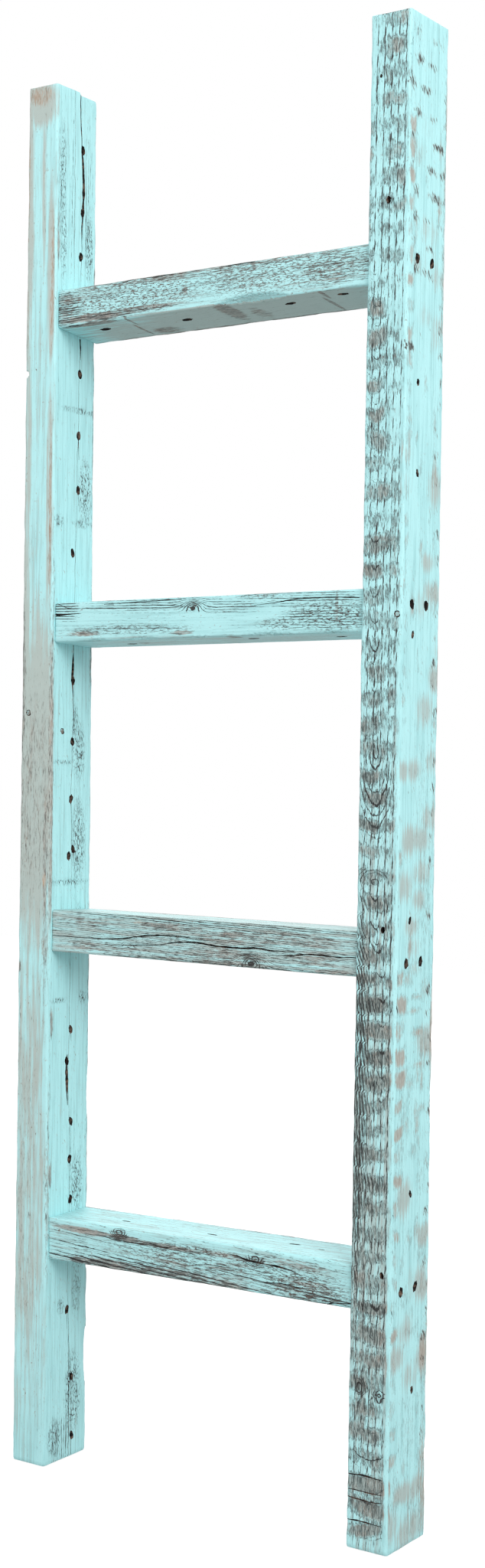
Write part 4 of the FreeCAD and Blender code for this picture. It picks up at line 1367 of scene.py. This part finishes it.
# Dulled zinc plate: it gives a dark grey glint at the bottom of the recess, browned by rust.
screw_finish = rusted_metal("dulled zinc-plated steel", clean="#8a8780", rust="#5b4034",
                            paint="#7fa9aa", paint_share=-0.02, metallic=1.0, grain=1.2)
screw_crease = 35
screw_tree = wood_screw_tree()
for number, (node, shape) in enumerate(rung_shapes.items()):
    for side, side_name in ((-1, "left"), (1, "right")):
        first, second = screw_seats(shape, side)
        screws = cut_from(screw_tree, node + "_" + side_name + "_driven_screws", {
            "First Seat": first, "Step": (0.0, second[1] - first[1], 0.0),
            "Inward": (-side, 0.0, 0.0), "Seed": 10 * number + side, "Finish": screw_finish})
        smoothed(screws.data, screw_crease)
        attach(screws, "root")
        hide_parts(node + "_" + side_name + "_screws")


# Three old wire nails were left in the posts: hammered flat heads, level with the wood, painted
# over and then rubbed back with it.
def wire_nail_tree():
    """Turns one nail with a hammered head that isn't quite round."""
    tree, given = part_tree("wire nail", "Nail", {
        "Head Radius": 0.0020, "Head Height": 0.0009, "Shank Radius": 0.0014, "Nail Length": 0.028,
        "Tip Length": 0.004, "Dents": 0.0003, "Seed": 0.0}, vectors=("Place", "Inward"))
    rod = add(tree, "GeometryNodeMeshCylinder", {
        "Vertices": 28, "Side Segments": 90, "Fill Segments": 6, "Radius": 1.0, "Depth": 1.0},
        fill_type="TRIANGLE_FAN")
    place = add(tree, "GeometryNodeInputPosition")
    x, y, z = add(tree, "ShaderNodeSeparateXYZ", [place]).node.outputs
    share, depth, taper = along_rod(tree, z, given["Nail Length"], given["Tip Length"], tip_share=0.1)
    past_head = add(tree, "ShaderNodeMath", [depth, given["Head Height"]], operation="GREATER_THAN")
    body = add(tree, "ShaderNodeMapRange", {
        "Value": past_head, "To Min": given["Head Radius"], "To Max": given["Shank Radius"]})
    even_radius = add(tree, "ShaderNodeMath", [body, taper], operation="MULTIPLY")
    ragged = add(tree, "ShaderNodeTexNoise", {
        "Vector": place, "W": given["Seed"], "Scale": 1.3, "Detail": 2.0}, noise_dimensions="4D")
    uneven = add(tree, "ShaderNodeMapRange", {"Value": ragged, "To Min": 0.86, "To Max": 1.12})
    radius = add(tree, "ShaderNodeMath", [even_radius, uneven], operation="MULTIPLY")
    dented = add(tree, "ShaderNodeMath", [ragged, given["Dents"]], operation="MULTIPLY")
    head_face = add(tree, "ShaderNodeMath", [share, 0.001], operation="LESS_THAN")
    deeper = add(tree, "ShaderNodeMath", [dented, head_face, depth], operation="MULTIPLY_ADD")
    turned = turned_rod(tree, rod, x, y, radius, deeper)
    aim = add(tree, "FunctionNodeAlignRotationToVector", {"Vector": given["Inward"]}, axis="Z")
    driven = add(tree, "GeometryNodeTransform", {
        "Geometry": turned, "Translation": given["Place"], "Rotation": aim})
    finish_part(tree, driven, given["Finish"])
    return tree


# Old iron under chalk paint: mostly turquoise, with brown rust where the head was rubbed bare.
nail_finish = rusted_metal("painted rusty iron", clean="#8b8d88", rust="#6a5a50", paint="#a4c6c7",
                           paint_share=0.04, metallic=0.4, grain=0.9)
nail_crease = 40
nail_tree = wire_nail_tree()
nail_places = {
    "left_post_front_nail": (left_front_nail, backwards),
    "left_post_side_nail": (left_side_nail, leftwards),
    "right_post_front_nail": (right_front_nail, backwards),
}
for number, (node, (place, inward)) in enumerate(nail_places.items()):
    nail = cut_from(nail_tree, node + "_old", {
        "Place": place, "Inward": inward, "Seed": 4.0 * number, "Finish": nail_finish})
    smoothed(nail.data, nail_crease)
    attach(nail, "root")
    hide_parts(node)
